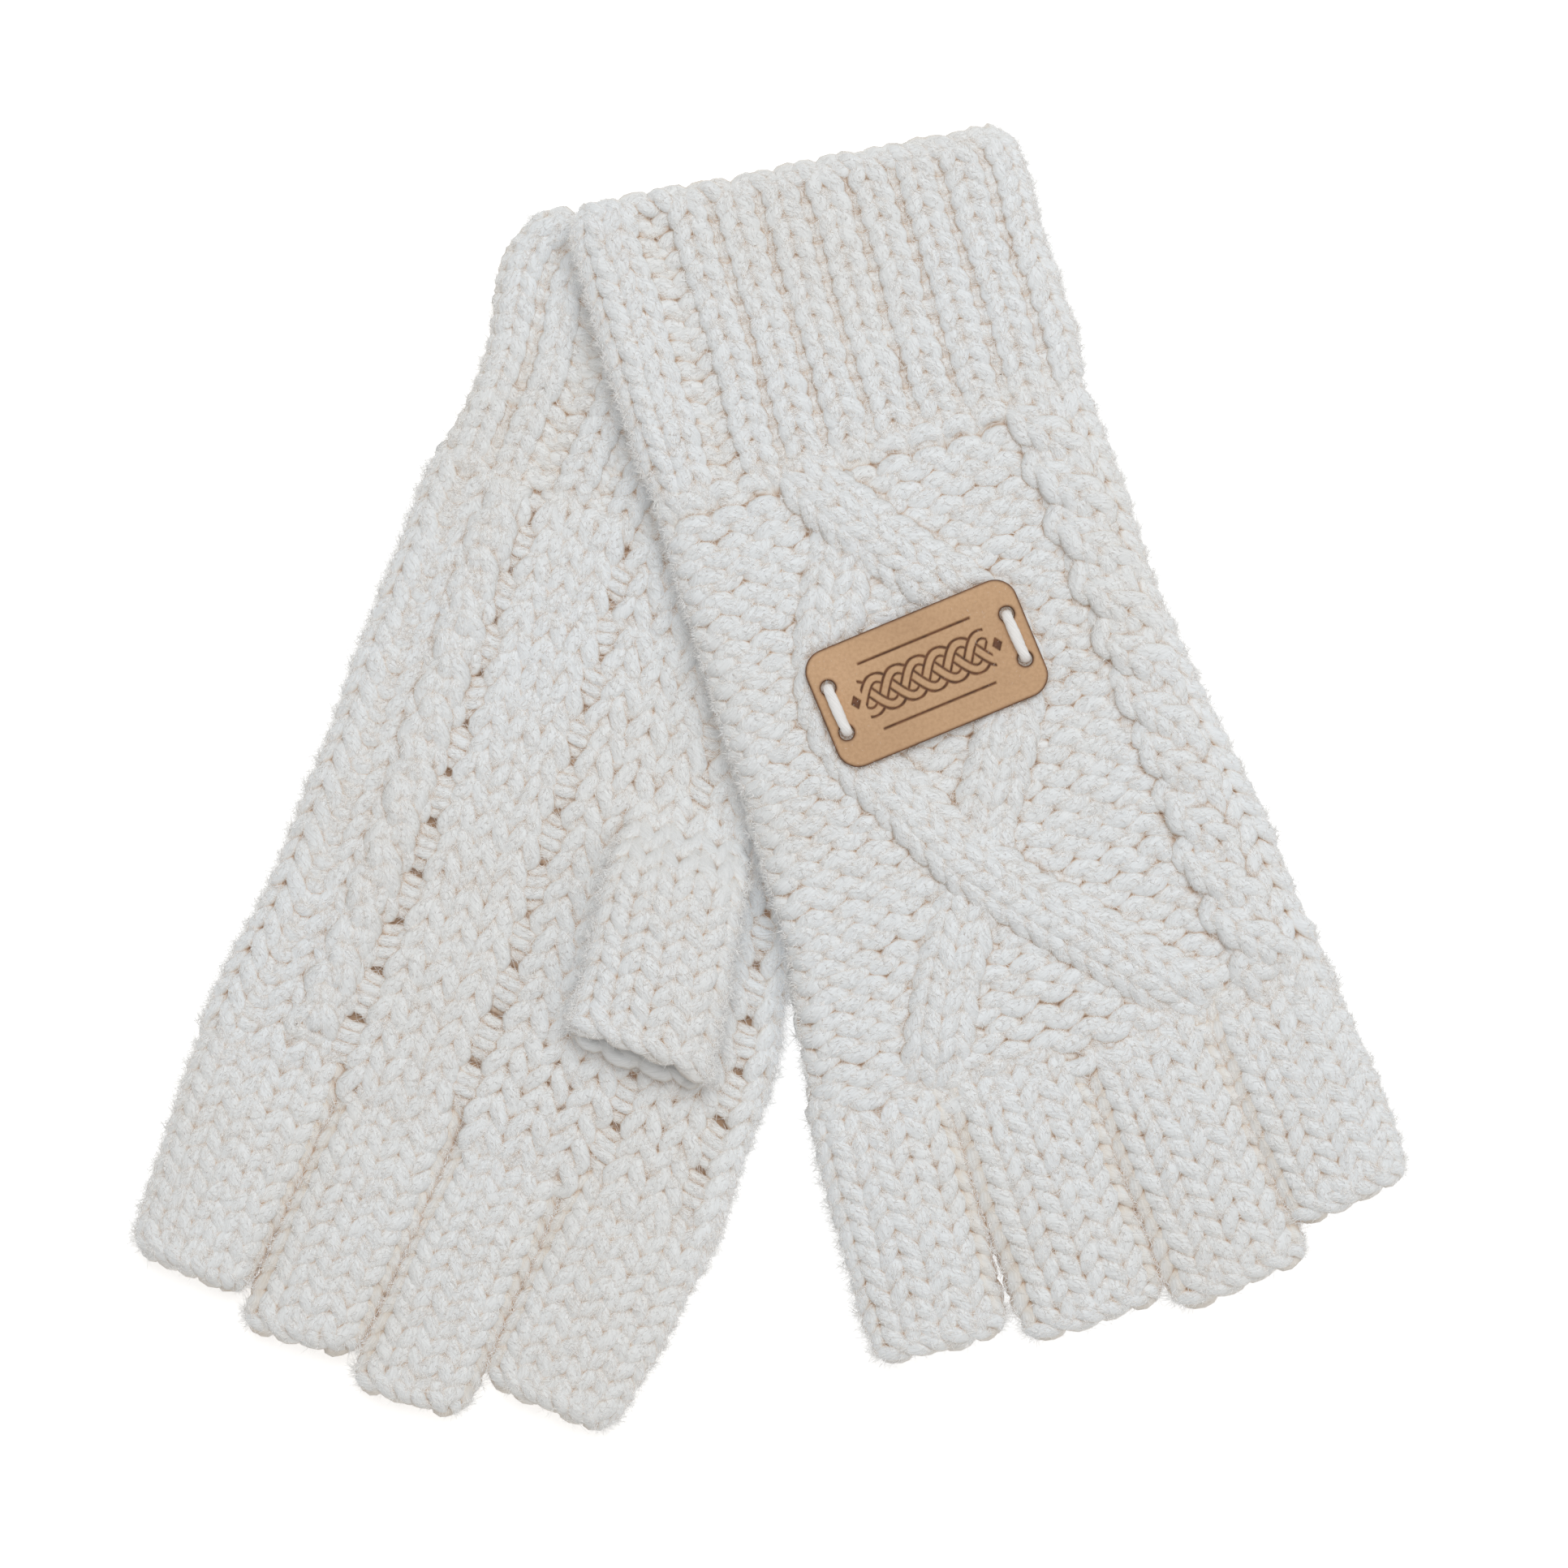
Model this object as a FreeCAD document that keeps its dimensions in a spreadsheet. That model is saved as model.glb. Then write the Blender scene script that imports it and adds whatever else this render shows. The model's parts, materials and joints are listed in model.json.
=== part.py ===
"""A pair of thick cable-knit fingerless gloves, laid flat as a pair.

The left-hand glove lies palm up on the table. The right-hand glove lies back up, and its cuff
crosses over the left one. Each glove is a ribbed cuff, a back panel and a palm panel joined by two
side seams, four open finger sleeves and an open thumb sleeve. A leather label is tied to the back
of the right-hand glove by two short yarns.

Row frame: +Z up, z = 0 on the table, X and Y centred on the pair, fingers towards -Y.
Glove frame: origin on the glove's underside at the middle of the wrist line, +X towards the thumb
edge, +Y towards the cuff's mouth, +Z up. All lengths are in millimetres, angles in degrees.
"""
import FreeCAD, Part
import math
import os
import Sketcher

SHEET_VALUES = {
    # Knit, shared by both gloves
    "panel_thickness": 3.2,
    "pocket_gap": 4.4,
    "sleeve_thickness": 10.2,
    "sleeve_wall": 3.0,
    "tube_edge_radius": 3.6,
    "fold_gap": 0.3,
    "seam_width": 2.4,
    "seam_inset": 0.9,
    "seam_gap": 0.05,
    "seam_edge_radius": 1.2,
    "stack_gap": 0.3,
    "wrist_half": 41.5,
    "cuff_width": 83.0,
    # Distances down the hand from the wrist line
    "gusset_station": 48.0,
    "palm_station": 82.0,
    # Left-hand glove: outline half widths to the little-finger edge and to the thumb edge
    "left_cuff_length": 49.5,
    "left_hand_length": 112.0,
    "left_little_upper": 39.0,
    "left_little_lower": 37.0,
    "left_little_knuckle": 38.2,
    "left_thumb_upper": 55.0,
    "left_thumb_lower": 63.5,
    "left_thumb_knuckle": 66.0,
    # Right-hand glove
    "right_cuff_length": 54.0,
    "right_hand_length": 115.5,
    "right_little_upper": 41.0,
    "right_little_lower": 41.5,
    "right_little_knuckle": 45.5,
    "right_thumb_upper": 44.0,
    "right_thumb_lower": 50.0,
    "right_thumb_knuckle": 54.0,
    # Finger sleeves: width, length from the fold line to the tip, root place across, splay
    "left_little_width": 24.0,
    "left_little_length": 40.5,
    "left_little_root": -21.5,
    "left_little_splay": 0.0,
    "left_ring_width": 22.8,
    "left_ring_length": 43.8,
    "left_ring_root": 2.5,
    "left_ring_splay": 0.0,
    "left_middle_width": 21.4,
    "left_middle_length": 46.0,
    "left_middle_root": 25.2,
    "left_middle_splay": 0.0,
    "left_index_width": 26.0,
    "left_index_length": 36.5,
    "left_index_root": 50.0,
    "left_index_splay": 0.0,
    "right_little_width": 25.4,
    "right_little_length": 41.0,
    "right_little_root": -33.5,
    "right_little_splay": -1.2,
    "right_ring_width": 25.2,
    "right_ring_length": 44.0,
    "right_ring_root": -7.6,
    "right_ring_splay": 3.0,
    "right_middle_width": 24.2,
    "right_middle_length": 44.7,
    "right_middle_root": 17.6,
    "right_middle_splay": 6.5,
    "right_index_width": 24.0,
    "right_index_length": 34.8,
    "right_index_root": 42.2,
    "right_index_splay": 8.7,
    # Thumb sleeves: the left one lies on the palm, the right one lies under the palm
    "thumb_width": 25.0,
    "thumb_length": 39.0,
    "left_thumb_root": 31.0,
    "left_thumb_station": 49.0,
    "left_thumb_splay": 12.0,
    "right_thumb_root": 28.0,
    "right_thumb_station": 48.0,
    "right_thumb_splay": 2.0,
    # Leather label and its ties; the label's place is from the right glove's wrist middle
    "label_width": 41.5,
    "label_depth": 22.8,
    "label_thickness": 1.4,
    "label_corner_radius": 4.2,
    "label_rest_gap": 0.6,
    "hole_radius": 1.35,
    "hole_across": 17.7,
    "hole_along": 4.45,
    "label_across": -2.0,
    "label_station": 41.6,
    "label_turn": 6.0,
    "tie_radius": 0.9,
    "tie_bend_radius": 1.2,
    "tie_clearance": 0.15,
    # How the pair is laid out: wrist middles, turns about Z, and the droop of the upper sleeves
    "left_place_across": -24.6,
    "left_place_along": 43.33,
    "left_turn": -24.0,
    "right_place_across": 18.65,
    "right_place_along": 59.33,
    "right_turn": 16.5,
    "right_finger_droop": 13.0,
}

FINGERS = ("little", "ring", "middle", "index")
GLOVES = ("left", "right")

DOC = FreeCAD.newDocument("FingerlessGloves")
SHEET = DOC.addObject("Spreadsheet::Sheet", "Sizes")

# Expressions that several sub-parts share
GLOVE_THICKNESS = "(2 * Sizes.panel_thickness + Sizes.pocket_gap)"
LABEL_YARN_TOP = "(Sizes.label_thickness + Sizes.tie_radius + Sizes.tie_clearance)"


def fill_sheet():
    """Write each driving size into its own named cell."""
    for row, (alias, number) in enumerate(SHEET_VALUES.items(), start=1):
        SHEET.set(f"A{row}", alias.replace("_", " "))
        SHEET.set(f"B{row}", str(number))
        SHEET.setAlias(f"B{row}", alias)
    DOC.recompute()


def size(expression):
    """The number that an expression in sheet sizes stands for."""
    return float(SHEET.evalExpression(expression))


def new_body(label):
    body = DOC.addObject("PartDesign::Body", label)
    body.Label = label
    return body


def new_sketch(body, role, purpose):
    """A sketch on one of the body's own origin planes."""
    sketch = body.newObject("Sketcher::SketchObject", f"{body.Label}_{purpose}")
    plane = next(item for item in body.Origin.OriginFeatures if item.Role == role)
    sketch.AttachmentSupport = [(plane, "")]
    sketch.MapMode = "FlatFace"
    return sketch


def bind(sketch, constraint, expression):
    """Add a dimension to a sketch and tie its value to the sheet."""
    index = sketch.addConstraint(constraint)
    sketch.setExpression(f"Constraints[{index}]", expression)


def place_point(sketch, curve, end, across, along):
    """Dimension one end of a curve from the sketch's origin."""
    bind(sketch, Sketcher.Constraint("DistanceX", -1, 1, curve, end, size(across)), across)
    bind(sketch, Sketcher.Constraint("DistanceY", -1, 1, curve, end, size(along)), along)


def draw_polygon(sketch, corners):
    """A closed outline whose corners are pairs of expressions."""
    points = [FreeCAD.Vector(size(across), size(along), 0) for across, along in corners]
    count = len(points)
    for index in range(count):
        sketch.addGeometry(Part.LineSegment(points[index], points[(index + 1) % count]), False)
    for index in range(count):
        sketch.addConstraint(Sketcher.Constraint("Coincident", index, 2, (index + 1) % count, 1))
    for index, (across, along) in enumerate(corners):
        place_point(sketch, index, 1, across, along)


def draw_circle(sketch, across, along, radius):
    centre = FreeCAD.Vector(size(across), size(along), 0)
    circle = Part.Circle(centre, FreeCAD.Vector(0, 0, 1), size(radius))
    index = sketch.addGeometry(circle, False)
    bind(sketch, Sketcher.Constraint("Radius", index, size(radius)), radius)
    place_point(sketch, index, 3, across, along)


def pad(body, sketch, length, symmetric=False):
    feature = body.newObject("PartDesign::Pad", f"{body.Label}_pad")
    feature.Profile = sketch
    feature.SideType = "Symmetric" if symmetric else "One side"
    feature.setExpression("Length", length)
    DOC.recompute()
    return feature


def pocket_through(body, sketch, purpose):
    """Cut a sketch right through the body, both ways, and prove that it cut something."""
    before = body.Shape.Volume
    feature = body.newObject("PartDesign::Pocket", f"{body.Label}_{purpose}")
    feature.Profile = sketch
    feature.SideType = "Symmetric"
    feature.Type = "ThroughAll"
    DOC.recompute()
    if not feature.Shape.Volume < before:
        raise RuntimeError(f"{feature.Label} cut nothing")
    return feature


def round_edges(body, chosen, radius):
    """Fillet the edges of the body's tip that the test picks."""
    base = body.Tip
    names = [f"Edge{index}" for index, edge in enumerate(base.Shape.Edges, start=1) if chosen(edge)]
    if not names:
        raise RuntimeError(f"{body.Label} has no edge to round")
    feature = body.newObject("PartDesign::Fillet", f"{body.Label}_rounding")
    feature.Base = (base, names)
    feature.setExpression("Radius", radius)
    DOC.recompute()
    return feature


def runs_along(edge, axis):
    """Whether an edge is a straight line along one of the body's own axes."""
    if not isinstance(edge.Curve, Part.Line):
        return False
    return abs(abs(edge.Curve.Direction.dot(axis)) - 1) < 1e-6


def glove_frame(glove):
    """Where a glove's own frame lies in the row frame."""
    lift = 0.0 if glove == "left" else size(f"{GLOVE_THICKNESS} + Sizes.stack_gap")
    origin = FreeCAD.Vector(
        size(f"Sizes.{glove}_place_across"), size(f"Sizes.{glove}_place_along"), lift)
    turn = FreeCAD.Rotation(FreeCAD.Vector(0, 0, 1), size(f"Sizes.{glove}_turn"))
    return FreeCAD.Placement(origin, turn)


def in_glove(glove, across, along, height, turn=0.0, droop=0.0):
    """Placement of a piece given in the glove's frame; droop tips its -Y end downwards."""
    spin = FreeCAD.Rotation(FreeCAD.Vector(0, 0, 1), turn)
    tip = FreeCAD.Rotation(FreeCAD.Vector(1, 0, 0), droop)
    local = FreeCAD.Placement(FreeCAD.Vector(across, along, height), spin.multiply(tip))
    return glove_frame(glove).multiply(local)


def knit_tube(label, width, length, thickness, wall, placement):
    """A flattened open tube along -Y, with a half-round root on its fold line at the origin.

    The half-round root has the tube's own half thickness as its radius, so that the tube can fold
    about the origin's X axis without cutting into the panel behind it.
    """
    body = new_body(label)
    radius = size(f"{thickness} / 2")
    reach = size(length)
    side = new_sketch(body, "YZ_Plane", "side")
    root = Part.Circle(FreeCAD.Vector(0, 0, 0), FreeCAD.Vector(0, 0, 1), radius)
    side.addGeometry(Part.ArcOfCircle(root, -math.pi / 2, math.pi / 2), False)
    outline = [(0, radius), (-reach, radius), (-reach, -radius), (0, -radius)]
    corners = [FreeCAD.Vector(along, height, 0) for along, height in outline]
    for start, stop in zip(corners, corners[1:]):
        side.addGeometry(Part.LineSegment(start, stop), False)
    for first, second in ((0, 1), (1, 2), (2, 3), (3, 0)):
        side.addConstraint(Sketcher.Constraint("Coincident", first, 2, second, 1))
    side.addConstraint(Sketcher.Constraint("Coincident", 0, 3, -1, 1))
    side.addConstraint(Sketcher.Constraint("PointOnObject", 0, 1, -2))
    side.addConstraint(Sketcher.Constraint("PointOnObject", 0, 2, -2))
    side.addConstraint(Sketcher.Constraint("Horizontal", 1))
    side.addConstraint(Sketcher.Constraint("Vertical", 2))
    side.addConstraint(Sketcher.Constraint("Horizontal", 3))
    bind(side, Sketcher.Constraint("Radius", 0, radius), f"{thickness} / 2")
    bind(side, Sketcher.Constraint("DistanceX", 2, 1, -1, 1, reach), length)
    pad(body, side, width, symmetric=True)

    half_width = size(f"{width} / 2")
    forward = FreeCAD.Vector(0, 1, 0)

    def long_edge(edge):
        return runs_along(edge, forward) and abs(abs(edge.CenterOfMass.x) - half_width) < 1e-3

    round_edges(body, long_edge, "Sizes.tube_edge_radius")
    hollow = new_sketch(body, "XZ_Plane", "hollow")
    across = f"{width} / 2 - {wall}"
    height = f"{thickness} / 2 - {wall}"
    draw_polygon(hollow, [
        (f"-({across})", f"-({height})"),
        (across, f"-({height})"),
        (across, height),
        (f"-({across})", height),
    ])
    pocket_through(body, hollow, "opening")
    body.Placement = placement
    return body


def edge_stations(glove, side):
    """Half width and distance down the hand at the outline's four stations."""
    return [
        ("Sizes.wrist_half", "0"),
        (f"Sizes.{glove}_{side}_upper", "Sizes.gusset_station"),
        (f"Sizes.{glove}_{side}_lower", "Sizes.palm_station"),
        (f"Sizes.{glove}_{side}_knuckle", f"Sizes.{glove}_hand_length"),
    ]


def flat_panel(glove, name, base):
    """One knit sheet of the hand, between the two side seams."""
    body = new_body(f"{glove}_{name}_panel")
    outline = new_sketch(body, "XY_Plane", "outline")
    inset = "Sizes.seam_width"
    little = [(f"-({half} - {inset})", f"-({along})") for half, along in edge_stations(glove, "little")]
    thumb = [(f"{half} - {inset}", f"-({along})") for half, along in edge_stations(glove, "thumb")]
    draw_polygon(outline, little + thumb[::-1])
    pad(body, outline, "Sizes.panel_thickness")
    body.Placement = in_glove(glove, 0, 0, size(base))
    return body


def side_seam(glove, side):
    """The joining yarn along one edge of the hand, as a strip that closes the pocket's side."""
    body = new_body(f"{glove}_{side}_side_seam")
    outline = new_sketch(body, "XY_Plane", "outline")
    sign = "-" if side == "little" else ""
    stations = edge_stations(glove, side)
    outer = [(f"{sign}({half})", f"-({along})") for half, along in stations]
    inset = "Sizes.seam_width + Sizes.seam_gap"
    inner = [(f"{sign}({half} - {inset})", f"-({along})") for half, along in stations]
    draw_polygon(outline, outer + inner[::-1])
    pad(body, outline, f"{GLOVE_THICKNESS} - 2 * Sizes.seam_inset")
    limit = size("Sizes.seam_width") / 2
    edges_x = [size(f"{sign}({half})") for half, along in stations]
    edges_y = [-size(along) for half, along in stations]

    def outside_edge(edge):
        """Straight edges on the outer side, level with the top or bottom face."""
        if not isinstance(edge.Curve, Part.Line) or abs(edge.Curve.Direction.z) > 1e-6:
            return False
        middle = edge.CenterOfMass
        for index in range(len(edges_x) - 1):
            half_x = (edges_x[index] + edges_x[index + 1]) / 2
            half_y = (edges_y[index] + edges_y[index + 1]) / 2
            if math.hypot(middle.x - half_x, middle.y - half_y) < limit / 2:
                return True
        return False

    round_edges(body, outside_edge, "Sizes.seam_edge_radius")
    body.Placement = in_glove(glove, 0, 0, size("Sizes.seam_inset"))
    return body


def cuff(glove):
    """The ribbed cuff, folding at the wrist line and open at its mouth."""
    fold = size(f"{GLOVE_THICKNESS} / 2 + Sizes.fold_gap")
    middle = size(f"{GLOVE_THICKNESS} / 2")
    length = f"Sizes.{glove}_cuff_length - {GLOVE_THICKNESS} / 2 - Sizes.fold_gap"
    return knit_tube(
        f"{glove}_cuff", "Sizes.cuff_width", length, GLOVE_THICKNESS, "Sizes.panel_thickness",
        in_glove(glove, 0, fold, middle, turn=180.0))


def finger_sleeve(glove, finger):
    """One open finger sleeve, from its fold line below the knuckle edge of the panels.

    A splayed sleeve stands off by as much as its root's corner swings towards the panels.
    """
    prefix = f"Sizes.{glove}_{finger}"
    corner_swing = size(f"{prefix}_width / 2") * abs(math.sin(math.radians(size(f"{prefix}_splay"))))
    fold = size(f"Sizes.{glove}_hand_length + Sizes.sleeve_thickness / 2 + Sizes.fold_gap")
    fold += corner_swing
    droop = size("Sizes.right_finger_droop") if glove == "right" else 0.0
    placement = in_glove(
        glove, size(f"{prefix}_root"), -fold, size(f"{GLOVE_THICKNESS} / 2"),
        turn=size(f"{prefix}_splay"), droop=droop)
    return knit_tube(
        f"{glove}_{finger}_sleeve", f"{prefix}_width", f"{prefix}_length",
        "Sizes.sleeve_thickness", "Sizes.sleeve_wall", placement)


def thumb_sleeve(glove):
    """The open thumb sleeve: over the palm on the left glove, under the palm on the right one."""
    half = size("Sizes.sleeve_thickness / 2")
    if glove == "left":
        height = size(f"{GLOVE_THICKNESS} + Sizes.stack_gap") + half
    else:
        height = half - size(f"{GLOVE_THICKNESS} + Sizes.stack_gap")
    prefix = f"Sizes.{glove}_thumb"
    placement = in_glove(
        glove, size(f"{prefix}_root"), -size(f"{prefix}_station"), height,
        turn=size(f"{prefix}_splay"))
    return knit_tube(
        f"{glove}_thumb_sleeve", "Sizes.thumb_width", "Sizes.thumb_length",
        "Sizes.sleeve_thickness", "Sizes.sleeve_wall", placement)


def label_frame(height):
    """Placement of the label's own frame, lifted above the back panel."""
    base = size(f"{GLOVE_THICKNESS} + Sizes.label_rest_gap")
    return in_glove(
        "right", size("Sizes.label_across"), -size("Sizes.label_station"), base + height,
        turn=size("Sizes.label_turn"))


def label():
    """The leather tag: a rounded rectangle with a pair of holes at each end."""
    body = new_body("label")
    outline = new_sketch(body, "XY_Plane", "outline")
    across = "Sizes.label_width / 2"
    along = "Sizes.label_depth / 2"
    draw_polygon(outline, [
        (f"-{across}", f"-{along}"),
        (across, f"-{along}"),
        (across, along),
        (f"-{across}", along),
    ])
    pad(body, outline, "Sizes.label_thickness")
    upward = FreeCAD.Vector(0, 0, 1)
    round_edges(body, lambda edge: runs_along(edge, upward), "Sizes.label_corner_radius")
    holes = new_sketch(body, "XY_Plane", "holes")
    for across_sign in ("-", ""):
        for along_sign in ("-", ""):
            draw_circle(
                holes, f"{across_sign}Sizes.hole_across", f"{along_sign}Sizes.hole_along",
                "Sizes.hole_radius")
    pocket_through(body, holes, "punching")
    body.Placement = label_frame(0)
    return body


def label_tie(name, sign):
    """One yarn that goes up through a hole, over the leather and down through its twin."""
    body = new_body(name)
    rise = size(LABEL_YARN_TOP)
    bend = size("Sizes.tie_bend_radius")
    reach = size("Sizes.hole_along")
    path = new_sketch(body, "YZ_Plane", "path")
    left_centre = FreeCAD.Vector(-reach + bend, rise - bend, 0)
    right_centre = FreeCAD.Vector(reach - bend, rise - bend, 0)
    normal = FreeCAD.Vector(0, 0, 1)
    path.addGeometry(Part.LineSegment(
        FreeCAD.Vector(-reach, 0, 0), FreeCAD.Vector(-reach, rise - bend, 0)), False)
    path.addGeometry(Part.ArcOfCircle(
        Part.Circle(left_centre, normal, bend), math.pi / 2, math.pi), False)
    path.addGeometry(Part.LineSegment(
        FreeCAD.Vector(-reach + bend, rise, 0), FreeCAD.Vector(reach - bend, rise, 0)), False)
    path.addGeometry(Part.ArcOfCircle(
        Part.Circle(right_centre, normal, bend), 0, math.pi / 2), False)
    path.addGeometry(Part.LineSegment(
        FreeCAD.Vector(reach, rise - bend, 0), FreeCAD.Vector(reach, 0, 0)), False)
    path.addConstraint(Sketcher.Constraint("Tangent", 0, 2, 1, 2))
    path.addConstraint(Sketcher.Constraint("Tangent", 1, 1, 2, 1))
    path.addConstraint(Sketcher.Constraint("Tangent", 2, 2, 3, 2))
    path.addConstraint(Sketcher.Constraint("Tangent", 3, 1, 4, 1))
    path.addConstraint(Sketcher.Constraint("Vertical", 0))
    path.addConstraint(Sketcher.Constraint("Vertical", 4))
    path.addConstraint(Sketcher.Constraint("Equal", 1, 3))
    bind(path, Sketcher.Constraint("Radius", 1, bend), "Sizes.tie_bend_radius")
    place_point(path, 0, 1, "-Sizes.hole_along", "0")
    place_point(path, 4, 2, "Sizes.hole_along", "0")
    bind(path, Sketcher.Constraint("DistanceY", -1, 1, 2, 1, rise), LABEL_YARN_TOP)
    section = new_sketch(body, "XY_Plane", "section")
    draw_circle(section, "0", "-Sizes.hole_along", "Sizes.tie_radius")
    DOC.recompute()
    pipe = body.newObject("PartDesign::AdditivePipe", f"{name}_yarn")
    pipe.Profile = section
    pipe.Spine = (path, [f"Edge{index}" for index in range(1, 6)])
    DOC.recompute()
    lateral = FreeCAD.Placement(
        FreeCAD.Vector(sign * size("Sizes.hole_across"), 0, 0), FreeCAD.Rotation())
    body.Placement = label_frame(0).multiply(lateral)
    return body


def build():
    """Every sub-part of the pair, each in its own body."""
    bodies = []
    upper_base = "Sizes.panel_thickness + Sizes.pocket_gap"
    for glove in GLOVES:
        lower, upper = ("back", "palm") if glove == "left" else ("palm", "back")
        bodies.append(cuff(glove))
        bodies.append(flat_panel(glove, lower, "0"))
        bodies.append(flat_panel(glove, upper, upper_base))
        bodies.append(side_seam(glove, "little"))
        bodies.append(side_seam(glove, "thumb"))
        bodies.append(thumb_sleeve(glove))
        for finger in FINGERS:
            bodies.append(finger_sleeve(glove, finger))
    bodies.append(label())
    bodies.append(label_tie("label_tie_little_end", -1))
    bodies.append(label_tie("label_tie_thumb_end", 1))
    return bodies


def check_document(bodies):
    """Stop unless every object computed and every sub-part is one valid solid."""
    for item in DOC.Objects:
        if "Invalid" in item.State or "Error" in item.State:
            raise RuntimeError(f"{item.Label}: {item.State}")
    for body in bodies:
        shape = body.Shape
        if shape.isNull() or not shape.isValid() or len(shape.Solids) != 1:
            raise RuntimeError(f"{body.Label} is not one valid solid")


def write_parts(bodies):
    os.makedirs("parts", exist_ok=True)
    for body in bodies:
        body.Shape.exportStep(os.path.join("parts", f"{body.Label}.step"))


fill_sheet()
BODIES = build()
DOC.recompute()
check_document(BODIES)
write_parts(BODIES)
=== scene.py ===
"""Looks for a pair of cable-knit fingerless gloves laid flat, one over the other.

Every stitch is real yarn: each course of each piece is a looped centre line laid on the flattened
tube that the piece forms, and a round yarn is swept along it. Lengths inside the script are in
millimetres and are turned to metres when a mesh is made. All places come from the CAD frame.
"""
import json
import math
import bpy
import numpy as np
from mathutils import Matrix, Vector


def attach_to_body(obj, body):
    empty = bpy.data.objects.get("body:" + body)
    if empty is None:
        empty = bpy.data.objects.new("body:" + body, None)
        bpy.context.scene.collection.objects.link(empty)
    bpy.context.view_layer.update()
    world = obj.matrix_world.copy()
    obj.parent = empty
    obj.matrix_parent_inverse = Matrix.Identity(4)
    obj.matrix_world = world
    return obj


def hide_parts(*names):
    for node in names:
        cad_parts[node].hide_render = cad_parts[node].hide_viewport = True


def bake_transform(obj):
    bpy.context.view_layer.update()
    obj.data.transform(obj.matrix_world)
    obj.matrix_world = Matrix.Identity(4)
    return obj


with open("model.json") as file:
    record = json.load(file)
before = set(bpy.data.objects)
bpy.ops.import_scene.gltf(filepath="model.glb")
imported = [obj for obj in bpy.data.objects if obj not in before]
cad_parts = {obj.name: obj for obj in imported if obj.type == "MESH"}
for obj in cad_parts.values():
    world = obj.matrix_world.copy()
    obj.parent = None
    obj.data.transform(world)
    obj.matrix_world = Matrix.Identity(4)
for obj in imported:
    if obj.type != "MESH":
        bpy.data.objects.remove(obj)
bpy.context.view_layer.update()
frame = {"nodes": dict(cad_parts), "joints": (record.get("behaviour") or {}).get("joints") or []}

MM = 0.001
TAU = 2 * math.pi
KNIT, PURL, LADDER = 1, -1, 0
FINGERS = ("little", "ring", "middle", "index")

# Yarns, in millimetres
YARN_RADIUS = 1.58
GROUND_RADIUS = 1.66       # the purl ground's yarn
CUFF_RADIUS = 1.60
FLATTEN = (1.16, 0.88)     # the yarn's section, across and off the sheet
WOOLLY = 0.02              # unevenness of the yarn's surface, in radii
PLY_SWELL = 0.06           # how far the twisted plies stand out, in radii
PLY_TURN = 7.5             # length of one turn of the plies
UNEVEN = 0.35              # how far the whole knit wanders from side to side
STEPS = 18                 # samples of the centre line in each stitch
SIDES = 8                  # sides of the yarn's section

# Stitches: heights in millimetres, shares in stitch widths or course pitches
LOOP_DEPTH = 0.60          # how far the legs and heads stand off the sheet's middle
GROUND_STAND = 0.80        # the same in the purl ground
LOOP_SPREAD = 0.25         # how far a loop's legs lean
CUFF_LEAN = 0.215          # the same in the cuffs
LOOP_REACH = 0.77          # half the height of a loop
WALE_WIDTH = 6.3
HAND_PITCH = 4.9
SLEEVE_PITCH = 3.9
CUFF_PITCH = 3.75
BAND_PITCH = 4.4
RIM_RADIUS = 1.35
RIM_SWELL = 0.85
RIM_LIFT = 0.1
RIM_TURNS = 0.75           # turns of the rim's two yarns for each wale
CUFF_RELIEF = (0.9, -1.35)   # heights of the knit and the purl wales in a cuff
HAND_RELIEF = (0.25, -0.3)
RIM_WAVE = 0.7
BAND_ROUND = 1.5           # crown of a cable across its width

# The flattened tubes, in millimetres
SHEET_HALF_GAP = 3.2       # middle of each knit layer from the middle of the flattened tube
EDGE_INSET = 1.75          # from the CAD outline to the yarn's centre line, in the hands and cuffs
SLEEVE_INSET = 1.9
SLEEVE_SHORT = 1.0
CORNER_DRAW = 2.4          # how far an open end's corners draw in, over CORNER_LENGTH
CORNER_LENGTH = 6.5
CUFF_BULGE = 4.6           # bulge of the left cuff's outer edge near its mouth
CUFF_HALF_WIDTH = 41.5
RIGHT_CUFF_SKEW = -0.074
SLEEVE_CROWN = 1.5
THUMB_LIP = 3.4            # how far the thumb's lower lip reaches past the upper one
THUMB_SLANT = 0.17
SLEEVE_ROOT = 10.0         # how far a finger sleeve's knit starts inside the hand
THUMB_ROOT = 7.0

# Ladders of loose strands in the palms
BUNDLE_PITCH = 9.7
BUNDLE_HEIGHT = 6.5
BUNDLE_STRANDS = 4
BUNDLE_RADIUS = 1.12
LADDER_SINK = 0.5          # how far the lining sinks below a ladder
LADDER_SWAY = 0.13
MOCK_CABLE_COLUMN = 0.185
MOCK_CABLE_SWING = 1.7
MOCK_CABLE_WIDTH = 4.4

# Loose fibres
FUZZ_DENSITY = 10.0        # fibres in each millimetre of yarn that faces up
FUZZ_IN_A_PIECE = 48000    # the most fibres in one mesh
FUZZ_RADIUS = (0.035, 0.075)
FUZZ_LENGTH = (0.9, 3.2)
FUZZ_LIFT = (0.15, 1.0)
FUZZ_AT_EDGES = 2.0        # how much denser the fibres are on sides that face outwards
FUZZ_TINT = 1.3

# Shading
GAP_SHADE = 1.5            # darkening of the edges between neighbouring sleeves
GAP_REACH = 3.4
# strength of the painted warm glow in the knit's crevices
CREVICE_GLOW = 0.085
CREVICE_REACH = 2.6
# strength of the painted white glow of the loose fibres
FIBRE_GLOW = 0.16
LINING_BAND = 0.02         # share of the bake map that holds the lining

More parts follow.
